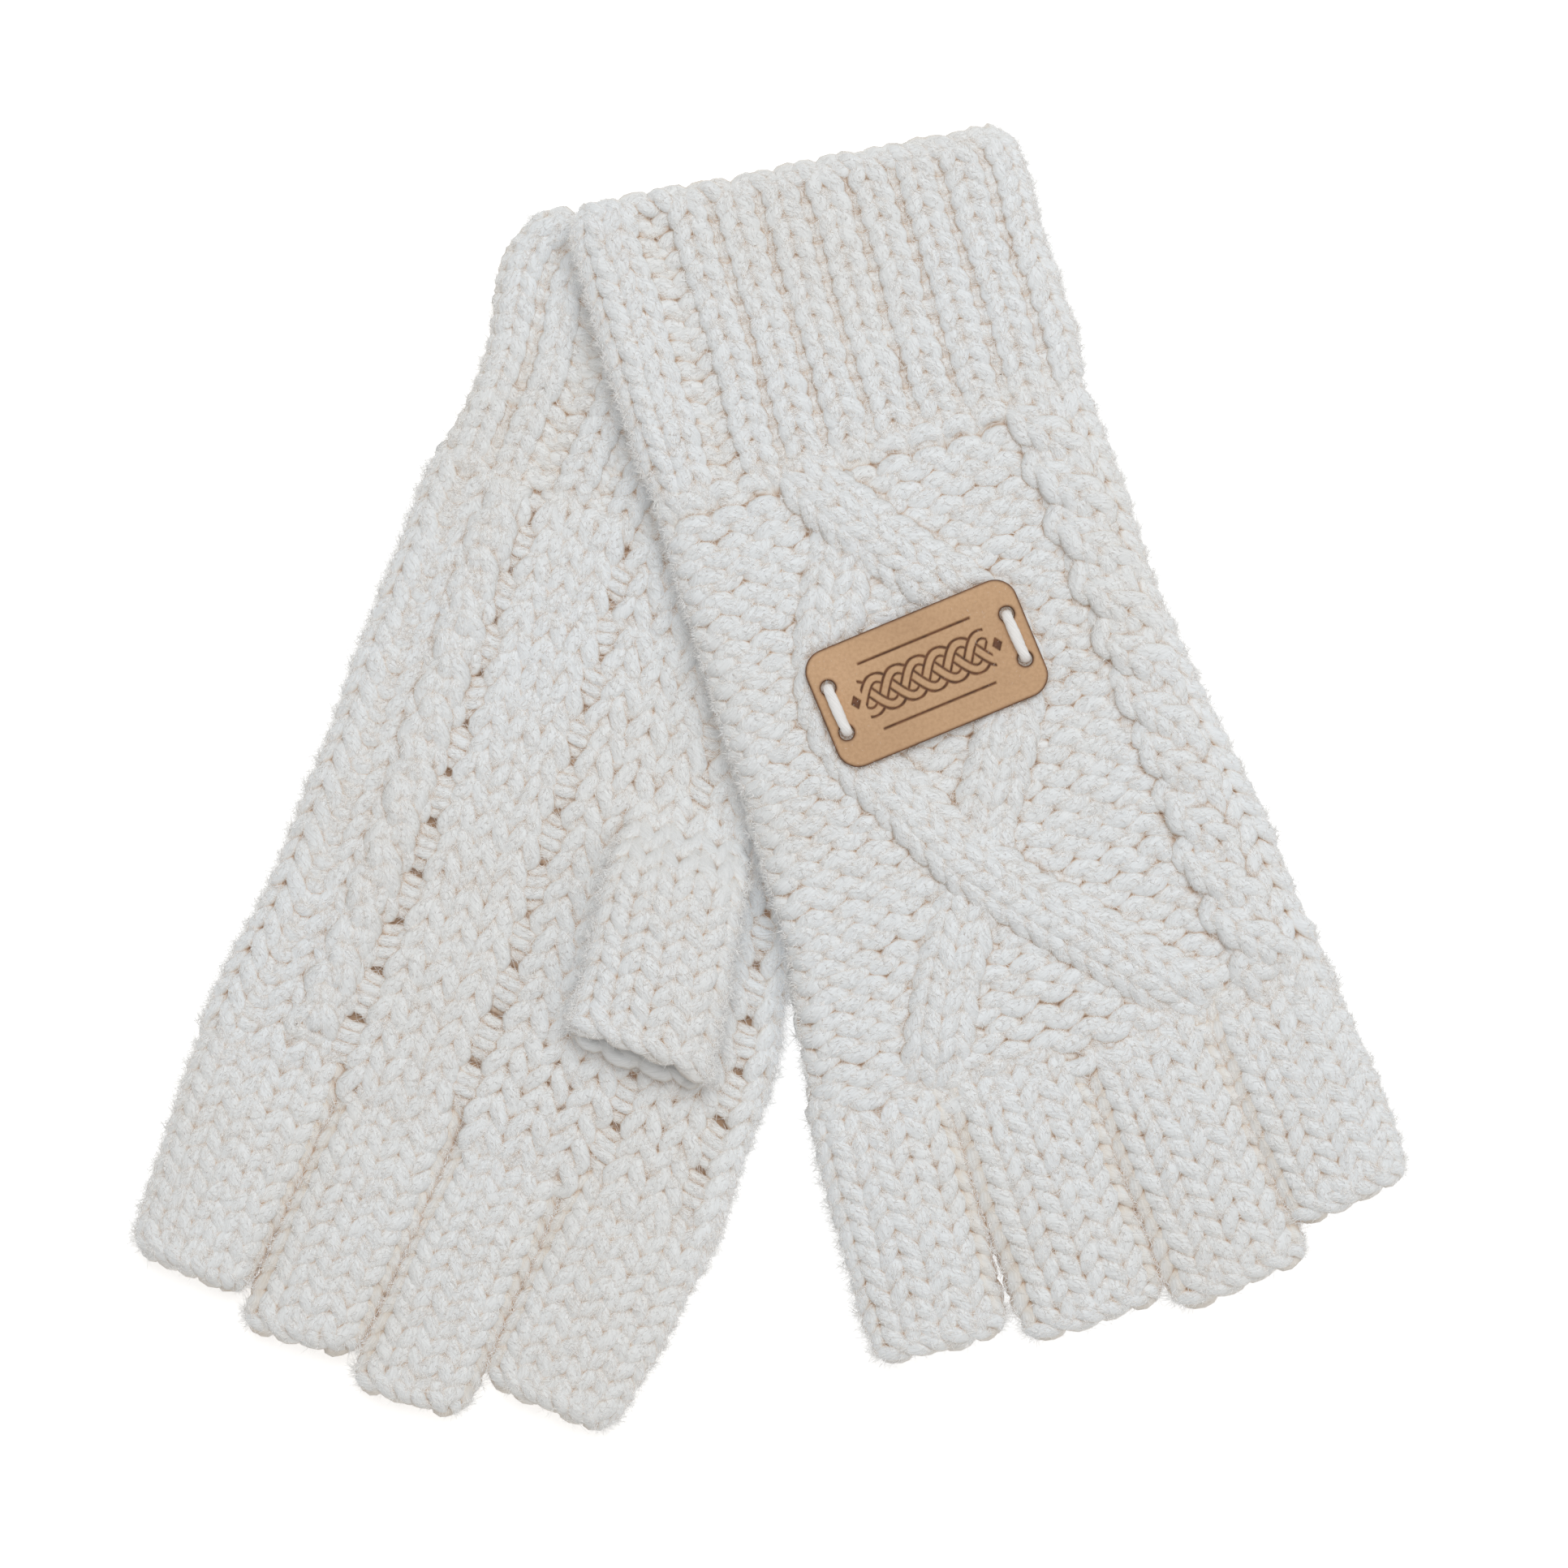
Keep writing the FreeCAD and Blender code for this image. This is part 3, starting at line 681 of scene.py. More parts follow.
def yarn_material(name, deep, shade, face, crest, span=(-2.0, 2.4)):
    """Spun yarn with plies and fibres; painted warm shade deep in the knit, painted highlight on the
    crests.
    """
    nodes = Nodes(name)
    depth = nodes.add("ShaderNodeAttribute", attribute_name="depth").outputs["Fac"]
    height = nodes.math("MULTIPLY_ADD", depth, 1 / (span[1] - span[0]), -span[0] / (span[1] - span[0]))
    twist = nodes.add("ShaderNodeUVMap", uv_map="Twist")
    split = nodes.add("ShaderNodeSeparateXYZ", {0: twist.outputs["UV"]})
    around, along = split.outputs["X"], split.outputs["Y"]
    winding = nodes.math("MULTIPLY_ADD", along, -0.667, around)
    fibre_at = nodes.add("ShaderNodeCombineXYZ", {
        "X": nodes.math("MULTIPLY", winding, 30.0),
        "Y": nodes.math("MULTIPLY", along, 4.0)})
    fibres = nodes.add(
        "ShaderNodeTexNoise", {"Vector": fibre_at.outputs[0], "Scale": 1.0, "Detail": 3.0})
    plies = nodes.math("SINE", nodes.math("MULTIPLY", winding, 2 * TAU))
    place = nodes.add("ShaderNodeTexCoord").outputs["Object"]
    mottle = nodes.add("ShaderNodeTexNoise", {"Vector": place, "Scale": 260.0, "Detail": 2.0})
    cloud = nodes.add("ShaderNodeTexNoise", {"Vector": place, "Scale": 22.0, "Detail": 1.0})
    shade_height_and_mottle = nodes.math("MULTIPLY_ADD", mottle.outputs["Fac"], 0.22, height)
    shade_height_and_mottle = nodes.math("SUBTRACT", shade_height_and_mottle, 0.11)
    # Painted shade and highlight: height in the knit picks deep and shade (painted shade) up to crest
    # (painted highlight); mottle adds random tone.
    colour = nodes.ramp(shade_height_and_mottle, [(0.10, deep), (0.40, shade), (0.62, face), (0.90, crest)])
    tone = nodes.ramp(cloud.outputs["Fac"], [(0.35, (0.985, 0.97, 0.95)), (0.60, (1.0, 1.0, 1.0))])
    colour = nodes.mix(1.0, colour, tone, "MULTIPLY")
    streak = nodes.ramp(fibres.outputs["Fac"], [(0.30, (0.90, 0.895, 0.89)), (0.58, (1.02, 1.02, 1.02))])
    colour = nodes.mix(1.0, colour, streak, "MULTIPLY")
    # Painted shade: where ambient occlusion finds the yarn hemmed in, the colour is multiplied down to a
    # warm brown.
    crevice_occlusion = nodes.add(
        "ShaderNodeAmbientOcclusion", {"Distance": CREVICE_REACH * MM}, samples=6).outputs["AO"]
    crevice_shade = nodes.ramp(crevice_occlusion, [(0.10, (0.72, 0.54, 0.40)), (0.54, (1.0, 1.0, 1.0))])
    colour = nodes.mix(1.0, colour, crevice_shade, "MULTIPLY")
    relief = nodes.math("MULTIPLY_ADD", plies, 0.30, nodes.math("MULTIPLY", fibres.outputs["Fac"], 0.9))
    bump = nodes.add(
        "ShaderNodeBump", {"Height": relief, "Strength": 0.38, "Distance": 0.30 * MM})
    # Painted glow: a warm emission in the occluded crevices stands in for light carried through the
    # wool.
    glow = nodes.ramp(crevice_occlusion, [(0.10, (1.0, 0.80, 0.62)), (0.55, (0.0, 0.0, 0.0))])
    return nodes.finish(
        colour, 0.95, bump.outputs["Normal"], Sheen_Weight=0.15, Sheen_Roughness=0.6,
        Specular_IOR_Level=0.05, Emission_Color=glow, Emission_Strength=CREVICE_GLOW)


def fibre_material():
    """Loose fibres with a painted glow: a white emission keeps them bright on every side, for the light
    they let through.
    """
    nodes = Nodes("loose_fibre")
    place = nodes.add("ShaderNodeTexCoord").outputs["Object"]
    strand = nodes.add("ShaderNodeTexNoise", {"Vector": place, "Scale": 700.0, "Detail": 2.0})
    colour = nodes.ramp(strand.outputs["Fac"], [(0.3, (0.86, 0.85, 0.83)), (0.7, (0.90, 0.91, 0.92))])
    return nodes.finish(
        colour, 0.9, Emission_Color=(1.0, 1.0, 1.0, 1), Emission_Strength=FIBRE_GLOW,
        Specular_IOR_Level=0.1)


def leather_material():
    """Smooth tan leather with faint grain."""
    nodes = Nodes("tan_leather")
    place = nodes.add("ShaderNodeTexCoord").outputs["Object"]
    cloud = nodes.add("ShaderNodeTexNoise", {"Vector": place, "Scale": 60.0, "Detail": 4.0})
    grain = nodes.add("ShaderNodeTexVoronoi", {"Vector": place, "Scale": 2600.0})
    pores = nodes.add("ShaderNodeTexNoise", {"Vector": place, "Scale": 1500.0, "Detail": 3.0})
    colour = nodes.ramp(cloud.outputs["Fac"], [
        (0.30, (0.57, 0.355, 0.200)), (0.55, (0.63, 0.400, 0.230)), (0.75, (0.67, 0.430, 0.255))])
    speck = nodes.ramp(pores.outputs["Fac"], [(0.35, (0.90, 0.88, 0.86)), (0.60, (1.0, 1.0, 1.0))])
    colour = nodes.mix(1.0, colour, speck, "MULTIPLY")
    # The depth attribute holds the engraving and rim burn on top; the underside holds at least 0.6,
    # which draws it darker.
    burn = nodes.add("ShaderNodeAttribute", attribute_name="depth").outputs["Fac"]
    char = nodes.add("ShaderNodeTexNoise", {"Vector": place, "Scale": 900.0, "Detail": 3.0})
    scorched = nodes.ramp(
        char.outputs["Fac"], [(0.35, (0.085, 0.032, 0.014)), (0.70, (0.19, 0.075, 0.032))])
    colour = nodes.mix(burn, colour, scorched)
    relief = nodes.math("MULTIPLY_ADD", pores.outputs["Fac"], 0.6, grain.outputs["Distance"])
    bump = nodes.add("ShaderNodeBump", {"Height": relief, "Strength": 0.25, "Distance": 0.12 * MM})
    rough = nodes.math("MULTIPLY_ADD", cloud.outputs["Fac"], 0.2, 0.48)
    return nodes.finish(colour, rough, bump.outputs["Normal"], Specular_IOR_Level=0.35)


# Each yarn's colours: painted shade deep in the knit, painted shade, its own colour on the face, painted
# highlight on the crests.
CREAM = yarn_material(
    "cream_yarn", (0.52, 0.41, 0.31), (0.80, 0.755, 0.70), (0.85, 0.865, 0.875), (0.855, 0.885, 0.915))
WHITE = yarn_material(
    "white_yarn", (0.70, 0.66, 0.62), (0.84, 0.82, 0.80), (0.90, 0.90, 0.90), (0.93, 0.93, 0.94),
    span=(-1.2, 1.2))
FIBRE = fibre_material()
LEATHER = leather_material()


# ---------------------------------------------------------------- the hands and cuffs

BUSY_RIB = [1.4, 1.4, 1.75] + [1.5, 0.6] * 7 + [1.3]
EASY_RIB = [0.85, 1.15, 0.85, 1.15, 1.8, 1.5] + [1.1, 1.5] * 5
RIGHT_CUFF = [KNIT, KNIT, PURL] + [KNIT, PURL] * 7 + [KNIT]
LEFT_CUFF = [PURL, KNIT] * 8
RIGHT_BACK = [PURL] * 12 + [KNIT]
LEFT_BACK = [PURL] * 13
PALM = (
    [KNIT, PURL, KNIT, KNIT, LADDER] + [KNIT] * 3 + [LADDER] + [KNIT] * 3 + [LADDER]
    + [KNIT, KNIT, LADDER, KNIT])
PALM_WIDTHS = [5.6, 3.1, 5.6, 5.6, 3.6] + [5.3] * 3 + [3.6] + [6.6] * 3 + [3.6, 5.95, 5.95, 3.6, 4.0]


def column_relief(chart, high, low):
    """Knit wales stand proud and the others sink back."""
    return np.where(np.asarray(chart) == KNIT, high, low)


def drawn_in(distance):
    """How far an open end's corners draw in, by the distance from the end."""
    return CORNER_DRAW * np.clip(1 - distance / CORNER_LENGTH, 0, 1) ** 2


def hand_tube(glove, skew, lid=None):
    """The flattened tube of the hand and cuff; skew slants the cuff's mouth."""
    own = GLOVES[glove]
    little, thumb = edge_curve(glove, "little"), edge_curve(glove, "thumb")

    def to_world(x, y, z):
        return own.to_world(x, y + np.maximum(y, 0) * skew * x / CUFF_HALF_WIDTH, z)

    middle = own.middle
    bulge = CUFF_BULGE if glove == "left" else 0.0

    def little_edge(y):
        swell = bulge * np.exp(-((own.cuff_end - 11.0 - y) / 11.0) ** 2)
        return little(y) + EDGE_INSET + drawn_in(own.cuff_end - y) - swell

    def thumb_edge(y):
        return thumb(y) - EDGE_INSET - drawn_in(own.cuff_end - y)

    return FlatTube(
        little_edge, thumb_edge, lambda y: middle + 0 * y, lambda y: SHEET_HALF_GAP + 0 * y,
        to_world, lid=lid)


def knit_cuff(glove, tube, front, widths, seed, attach):
    rng = np.random.default_rng(seed)
    own = GLOVES[glove]
    courses = round(own.cuff_end / CUFF_PITCH)
    pitch = (own.cuff_end - 1.0) / courses
    wales = front + front[::-1]
    chart = repeat_chart(courses, wales)
    ribbed = np.clip((courses - np.arange(courses) - 0.5) / 3.0, 0, 1)[:, None]
    relief = ribbed * column_relief(chart, *CUFF_RELIEF) - 0.8 * (1 - ribbed)
    yarn = YarnMesh()
    yarn.add(*lay_courses(
        tube, chart, own.cuff_end - 1.0, pitch, rng, widths=widths + widths[::-1],
        relief=relief, span=(0.0, 2.0), radius=CUFF_RADIUS, lean=CUFF_LEAN))
    yarn.add_shaded_lining(tube, (own.cuff_end - 1.5, 1.0), (0.0, 2.0), outer=-1.3, inner=-1.9)
    yarn.add(*lay_rim(
        tube, own.cuff_end - 1.5, len(wales), rng, wave=column_relief(wales, RIM_WAVE, -RIM_WAVE)))
    place_knit(yarn, f"{glove}_cuff", f"{glove}_cuff", rng, attach)


def knit_panel(glove, tube, wales, widths, span, seed, press=None):
    rng = np.random.default_rng(seed)
    own = GLOVES[glove]
    courses = round(-own.hand_end / HAND_PITCH) + 1
    pitch = (-own.hand_end + 2.5) / courses
    chart = repeat_chart(courses, wales)
    purled = KNIT not in wales[:-1]
    ladders = ladder_places(wales, widths, span)
    yarn = YarnMesh()
    yarn.add(*lay_courses(
        tube, chart, 0.0, pitch, rng, relief=column_relief(chart, *HAND_RELIEF),
        span=span, press=press, widths=widths, sway=ladder_sway(wales),
        radius=GROUND_RADIUS if purled else YARN_RADIUS, stand=GROUND_STAND if purled else LOOP_DEPTH))
    yarn.add_shaded_lining(tube, (0.5, own.hand_end + 0.5), span, press=press or ladder_press(ladders))
    add_ladder_bundles(yarn, tube, ladders, own.hand_end, rng)
    return yarn


def ladder_places(wales, widths, span):
    """Centre and half width of every ladder, in columns of the tube."""
    edges = span[0] + np.concatenate([[0.0], np.cumsum(widths)]) / sum(widths) * (span[1] - span[0])
    return [((edges[wale] + edges[wale + 1]) / 2, (edges[wale + 1] - edges[wale]) / 2)
            for wale in np.flatnonzero(np.asarray(wales) == LADDER)]


def ladder_press(ladders):
    """The lining sinks under the ladders, so that their slits look deep and take a darker painted shade.
    """
    def press(column, y):
        sink = 0.0 * column
        for centre, half in ladders:
            sink = sink - LADDER_SINK * np.exp(-((column - centre) / (1.5 * half)) ** 4)
        return sink
    return press


def ladder_sway(wales):
    """How far each wale swings from side to side; those beside a ladder are drawn about most."""
    sway = np.zeros(len(wales))
    for wale in np.flatnonzero(np.asarray(wales) == LADDER):
        sway[wale - 1] = -LADDER_SWAY
        sway[min(wale + 1, len(wales) - 1)] = LADDER_SWAY
    return sway


def add_ladder_bundles(yarn, tube, ladders, end, rng):
    """Bundles of loose strands that bulge across each ladder, with an open slit below every bundle."""
    across = np.linspace(-1, 1, 15)
    dip = 1 - np.abs(across) ** 2.4
    for centre, half in ladders:
        first = -rng.uniform(3.0, 6.0)
        for top in np.arange(first, end + 8.0, -BUNDLE_PITCH):
            tilt = rng.normal(0, 0.5)
            for share in np.linspace(0, 1, BUNDLE_STRANDS):
                bow = 1.1 - 0.5 * share
                y = top - BUNDLE_HEIGHT * share - bow * dip + tilt * across + rng.normal(0, 0.12)
                n = -1.0 + (1.75 - 0.9 * (2 * share - 1) ** 2) * dip + rng.normal(0, 0.08)
                points, normals = tube.place((centre + across * half * 1.6)[None], y[None], n[None])
                thick = (BUNDLE_RADIUS + rng.normal(0, 0.05)) * (0.82 + 0.18 * dip)
                # Their depth is raised by 0.3, which paints the bundles a little lighter on the painted
                # shade ramp.
                yarn.add(points, normals, thick[None], n[None] + 0.3)


# ---------------------------------------------------------------- cables on the right back

def cable_path(points):
    """A smooth course across the hand through (across, along) places."""
    across, along = zip(*points)
    return smooth_curve(along, across, width=9.0)


CABLE_WIDTH = 11.0
FALLING = cable_path([
    (-13, 0), (-7.8, -10), (13.5, -36), (14.5, -46), (-3.3, -79), (-19, -105), (-23, -119)])
RISING = cable_path([
    (-3.3, 0), (-7.8, -10), (-20.5, -36), (-21, -48), (-3.3, -79), (22, -106), (33, -119)])
ROPE = cable_path([(30.5, 0), (33.5, -24), (37, -60), (38.5, -90), (43, -114)])
ROPE_WIDTH = 6.4
ROPE_SWING = 3.0
ROPE_TURN = 22.0


def near(y, place, width):
    """1 at a place along the hand, fading to 0 over a width."""
    return np.exp(-((y - place) / width) ** 2)


def lay_band(yarn, band, wales, rng):
    """Knit wales along a band."""
    courses = round(band.length / BAND_PITCH)
    chart = repeat_chart(courses, [KNIT] * wales)
    yarn.add(*lay_courses(band, chart, 0.0, band.length / courses, rng))


def right_back_cables(tube, yarn, end, rng):
    def fade(y):
        return 0.35 - 2.6 * near(y, end, 5) - 1.8 * near(y, 1.0, 4)

    def falling_height(y):
        return fade(y) + 1.0 * near(y, -10, 8) - 0.9 * near(y, -79, 9)

    def rising_height(y):
        return fade(y) - 0.9 * near(y, -10, 8) + 1.0 * near(y, -79, 9)

    lay_band(yarn, Band(tube, FALLING, 1.0, end + 1.0, CABLE_WIDTH, falling_height), 2, rng)
    lay_band(yarn, Band(tube, RISING, -7.0, end + 1.0, CABLE_WIDTH, rising_height), 2, rng)
    for phase in (0.0, math.pi):
        def path(y, phase=phase):
            return ROPE(y) + ROPE_SWING * np.cos(TAU * y / ROPE_TURN + phase)

        def height(y, phase=phase):
            return fade(y) + 0.8 * np.sin(TAU * y / ROPE_TURN + phase)

        lay_band(yarn, Band(tube, path, 0.0, end + 1.0, ROPE_WIDTH, height), 1, rng)


def cable_press(tube):
    """The purl ground sinks where a cable lies on it."""
    def press(column, y):
        left, right, half, span = tube.section(y)
        sink = 0.0
        for path, half_width in ((FALLING, 6.0), (RISING, 6.0), (ROPE, 5.4)):
            slope = (path(y + 0.5) - path(y - 0.5)) / 1.0
            gap = (column - tube.column(path(y), y)) * span / np.sqrt(1 + slope ** 2)
            sink = sink + np.exp(-(gap / half_width) ** 4)
        return -1.1 * np.clip(sink, 0, 1)
    return press


# ---------------------------------------------------------------- sleeves

SLEEVE_SPREAD = {
    "left_little": (4.2, 1.1, 0.2, 0.8), "left_ring": (0.7, 0.7, 0.9, 0.9),
    "left_middle": (0.7, 0.8, 1.1, 1.4), "left_index": (1.1, 3.4, 1.2, 0.6),
    "right_little": (0.8, 1.4, 0.7, 1.5), "right_ring": (1.4, 1.1, 1.8, 2.4),
    "right_middle": (1.1, 1.2, 2.4, 2.6), "right_index": (1.2, 0.9, 2.4, -0.2),
}


SLEEVE_SLANT = {"left_ring": 0.18, "left_middle": 0.14}
SHADED_COLUMNS = {"little": (1.0,), "index": (0.0, 2.0), "thumb": ()}


def sleeve_tube(glove, finger):
    """The flattened tube of a finger sleeve, in a frame with its fold line at the origin."""
    joint = JOINTS[f"{glove}_{finger}_fold"]
    hinge = np.array(joint["pos_m"]) / MM
    angle = math.atan(joint["axis"][1] / joint["axis"][0])
    local = turned(node_points(f"{glove}_{finger}_sleeve") - hinge, angle)
    length = -local[:, 1].min()
    tip = local[local[:, 1] < -length + 0.3]
    slope = -(tip[:, 2].min() + tip[:, 2].max()) / 2 / length
    half_width = (local[:, 0].max() - local[:, 0].min()) / 2
    length = length - SLEEVE_SHORT
    slant = SLEEVE_SLANT.get(f"{glove}_{finger}", 0.0)

    def to_world(x, y, z):
        y = y + slant * x * np.clip(-y / length, 0, 1) ** 2
        return turned_back(x, y, z, angle, hinge)

    def middle(y):
        run = np.maximum(-y + 2, 0)
        return hinge[2] - slope * 1.08 * (np.sqrt(run ** 2 + 49) - 7)

    spread = SLEEVE_SPREAD[f"{glove}_{finger}"]

    def edge(side):
        at_root, at_tip = spread[0 if side < 0 else 1], spread[2 if side < 0 else 3]

        def place(y):
            share = np.clip(-y / length, 0, 1)
            spare = at_root * (1 - share) + at_tip * share - drawn_in(y + length)
            return side * (half_width - SLEEVE_INSET + spare)
        return place

    def half(y):
        return SHEET_HALF_GAP - 0.2 - 1.2 * np.clip((y - 3.5) / 5.0, 0, 1)

    tube = FlatTube(edge(-1), edge(1), middle, half, to_world, crown=sleeve_crown)
    return tube, length, hinge, angle


def sleeve_crown(y):
    """How far a sleeve's top bulges: not at all in the hand, fully past the fold line."""
    return SLEEVE_CROWN * np.clip((4.0 - y) / 14.0, 0, 1)


def straighten(points):
    """The turn at which a rectangular tube's points are narrowest, and their middle across."""
    turns = np.radians(np.linspace(-60, 60, 481))
    widths = [np.ptp(turned(points, turn)[:, 0]) for turn in turns]
    best = turns[int(np.argmin(widths))]
    across = turned(points, best)[:, 0]
    return best, (across.min() + across.max()) / 2


def place_knit(yarn, name, node, rng, attach):
    """Makes a knit and its loose fibres and attaches both where the CAD node was."""
    knit = yarn.build(f"{name}_knit", CREAM)
    attach(knit)
    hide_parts(node)
    for fuzz in yarn.build_fuzz(f"{name}_fuzz", FIBRE, rng):
        attach(fuzz)


def along_sleeve(hinge, angle, y):
    """A point on a sleeve's centre line, in metres."""
    return Vector((hinge[0] - y * math.sin(angle), hinge[1] + y * math.cos(angle), hinge[2])) * MM


def thumb_tube(glove):
    """The thumb sleeve's tube: it rises out of the palm sheet at its root."""
    node = f"{glove}_thumb_sleeve"
    name = "left_thumb_lift" if glove == "left" else "right_thumb_swing"
    hinge = np.array(JOINTS[name]["pos_m"]) / MM
    own = GLOVES[glove]
    points = node_points(node)
    angle, across = straighten(points)
    local = turned(points, angle)
    along = turned(hinge, angle)[1] if glove == "left" else local[:, 1].max()
    hinge = turned_back(across, along, (points[:, 2].min() + points[:, 2].max()) / 2, angle)
    length = along - local[:, 1].min()
    half_width = (local[:, 0].max() - local[:, 0].min()) / 2
    outward = 1 if glove == "left" else -1
    palm_sheet = own.middle + outward * SHEET_HALF_GAP

    def to_world(x, y, z):
        y = y - outward * THUMB_SLANT * x * np.clip(-y / length, 0, 1) ** 2
        return turned_back(x, y, z, angle, hinge)

    def grown(y):
        """0 inside the palm sheet, 1 where the tube has its full height."""
        t = np.clip((7.0 - y) / 15.0, 0, 1)
        return t * t * (3 - 2 * t)

    def middle(y):
        return palm_sheet + (hinge[2] - palm_sheet) * grown(y)

    def half(y):
        return 0.6 + (SHEET_HALF_GAP - 0.6) * grown(y)

    def edge(side):
        return lambda y: side * (half_width - 1.4 + 1.3 * np.clip(-y / length, 0, 1))

    def lip(y):
        return THUMB_LIP * np.clip(-y / length, 0, 1) ** 3

    tube = FlatTube(edge(-1), edge(1), middle, half, to_world, crown=sleeve_crown, lip=lip)
    return tube, length, hinge, angle


def knit_sleeve(glove, finger, seed):
    """Knits a finger or thumb sleeve; its edges towards its neighbours are shaded."""
    rng = np.random.default_rng(seed)
    if finger == "thumb":
        tube, length, hinge, angle = thumb_tube(glove)
        root, lip, ends = THUMB_ROOT, THUMB_LIP / 2, (6.0, -5.0)
        lining = (root - 12.0, -length + 6.0)
    else:
        tube, length, hinge, angle = sleeve_tube(glove, finger)
        root, lip, ends = SLEEVE_ROOT, 0.0, (5.0, -6.0)
        lining = (root - 0.5, -length + 2.5)
    width = tube.right(0.0) - tube.left(0.0)
    front = round((width - 2 * SHEET_HALF_GAP + math.pi * SHEET_HALF_GAP) / WALE_WIDTH)
    run = length + root - 1.6 - lip
    courses = round(run / SLEEVE_PITCH)
    chart = repeat_chart(courses, [KNIT] * (2 * front))
    yarn = YarnMesh()
    points, normals, thick, depth = lay_courses(tube, chart, root, run / courses, rng, span=(0.0, 2.0))
    column = np.linspace(0, 2, points.shape[1])
    for gap in SHADED_COLUMNS.get(finger, (0.0, 2.0, 1.0)):
        depth = depth - GAP_SHADE * np.exp(-((column - gap) * width / GAP_REACH) ** 2)
    yarn.add(points, normals, thick, depth)
    yarn.add(*lay_rim(tube, -length + 1.7 + lip, 2 * front, rng))
    yarn.add_shaded_lining(tube, lining, (0.0, 2.0))
    start, end = (along_sleeve(hinge, angle, y) for y in ends)
    place_knit(yarn, f"{glove}_{finger}", f"{glove}_{finger}_sleeve", rng,
               lambda obj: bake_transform(obj))


# ---------------------------------------------------------------- seams

def side_seam(glove, tube, side, seed):
    """Joining yarn that crosses the edge from the back panel to the palm panel, course by course."""
    rng = np.random.default_rng(seed)
    own = GLOVES[glove]
    crossings = round(-own.hand_end / HAND_PITCH) * 2
    samples = crossings * 6 + 1
    share = np.linspace(0, 1, samples)
    edge = 0.0 if side == "little" else 1.0
    column = edge + 0.016 * np.sin(share * crossings * math.pi)
    y = own.hand_end * share
    n = 0.1 + 0.15 * np.cos(share * crossings * TAU)
    points, normals = tube.place(column[None], y[None], n[None])
    yarn = YarnMesh()
    yarn.add(points, normals, np.full((1, samples), 0.75), n[None] - 0.5)
    place_knit(yarn, f"{glove}_{side}_side_seam", f"{glove}_{side}_side_seam", rng,
               lambda obj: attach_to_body(obj, f"{glove}_hand"))


def add_mock_cable(yarn, tube, end, rng):
    """Two single wales that cross every few courses, beside the first ladder of the left palm."""
    for phase in (0.0, math.pi):
        def path(y, phase=phase):
            left, right, half, span = tube.section(y)
            middle = left + half - math.pi * half / 2 + MOCK_CABLE_COLUMN * span
            return middle + MOCK_CABLE_SWING * np.cos(TAU * y / BUNDLE_PITCH / 2 + phase)

        def height(y, phase=phase):
            return 0.1 + 0.5 * np.sin(TAU * y / BUNDLE_PITCH / 2 + phase)

        lay_band(yarn, Band(tube, path, -1.0, end + 5.0, MOCK_CABLE_WIDTH, height), 1, rng)


def finish_hand(glove, yarn, panel, rng):
    place_knit(yarn, f"{glove}_{panel}", f"{glove}_{panel}_panel", rng,
               lambda obj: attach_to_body(obj, f"{glove}_hand"))


def build_left():
    tube = hand_tube("left", 0.0)
    knit_cuff("left", tube, LEFT_CUFF, EASY_RIB, 11, lambda obj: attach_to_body(obj, "left_hand"))
    palm = knit_panel("left", tube, PALM, PALM_WIDTHS, (0.0, 1.0), 12)
    add_mock_cable(palm, tube, GLOVES["left"].hand_end, np.random.default_rng(17))
    finish_hand("left", palm, "palm", np.random.default_rng(112))
    back = knit_panel("left", tube, LEFT_BACK, [1.0] * len(LEFT_BACK), (1.0, 2.0), 13)
    finish_hand("left", back, "back", np.random.default_rng(113))
    for number, side in enumerate(("little", "thumb")):
        side_seam("left", tube, side, 14 + number)


def build_right():
    tube = hand_tube("right", RIGHT_CUFF_SKEW, lid=label_lid)
    knit_cuff("right", tube, RIGHT_CUFF, BUSY_RIB, 21, lambda obj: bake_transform(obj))
    back = knit_panel(
        "right", tube, RIGHT_BACK, [1.0] * len(RIGHT_BACK), (0.0, 1.0), 22, press=cable_press(tube))
    right_back_cables(tube, back, GLOVES["right"].hand_end, np.random.default_rng(23))
    finish_hand("right", back, "back", np.random.default_rng(123))
    palm = knit_panel("right", tube, PALM[::-1], PALM_WIDTHS[::-1], (1.0, 2.0), 24)
    finish_hand("right", palm, "palm", np.random.default_rng(124))
    for number, side in enumerate(("little", "thumb")):
        side_seam("right", tube, side, 25 + number)


# ---------------------------------------------------------------- label and ties

class LabelFrame:
    """Where the label lies: its middle, its turn and the level of its underside."""

    def __init__(self):
        points = node_points("label")
        turns = np.radians(np.linspace(-45, 45, 721))
        heights = [np.ptp(turned(points, turn)[:, 1]) for turn in turns]
        self.turn = turns[int(np.argmin(heights))]
        local = turned(points, self.turn)
        low, high = local.min(axis=0), local.max(axis=0)
        self.middle = (low + high) / 2
        self.length, self.width, self.thickness = high - low
        self.bottom = low[2]

    def to_world(self, x, y, z):
        return turned_back(x + self.middle[0], y + self.middle[1], z + self.bottom, self.turn)

    def distance(self, x, y):
        """Signed distance to the label's rounded outline, negative inside."""
        qx = np.abs(x) - (self.length / 2 - LABEL_CORNER)
        qy = np.abs(y) - (self.width / 2 - LABEL_CORNER)
        outside = np.hypot(np.maximum(qx, 0), np.maximum(qy, 0))
        return outside + np.minimum(np.maximum(qx, qy), 0) - LABEL_CORNER


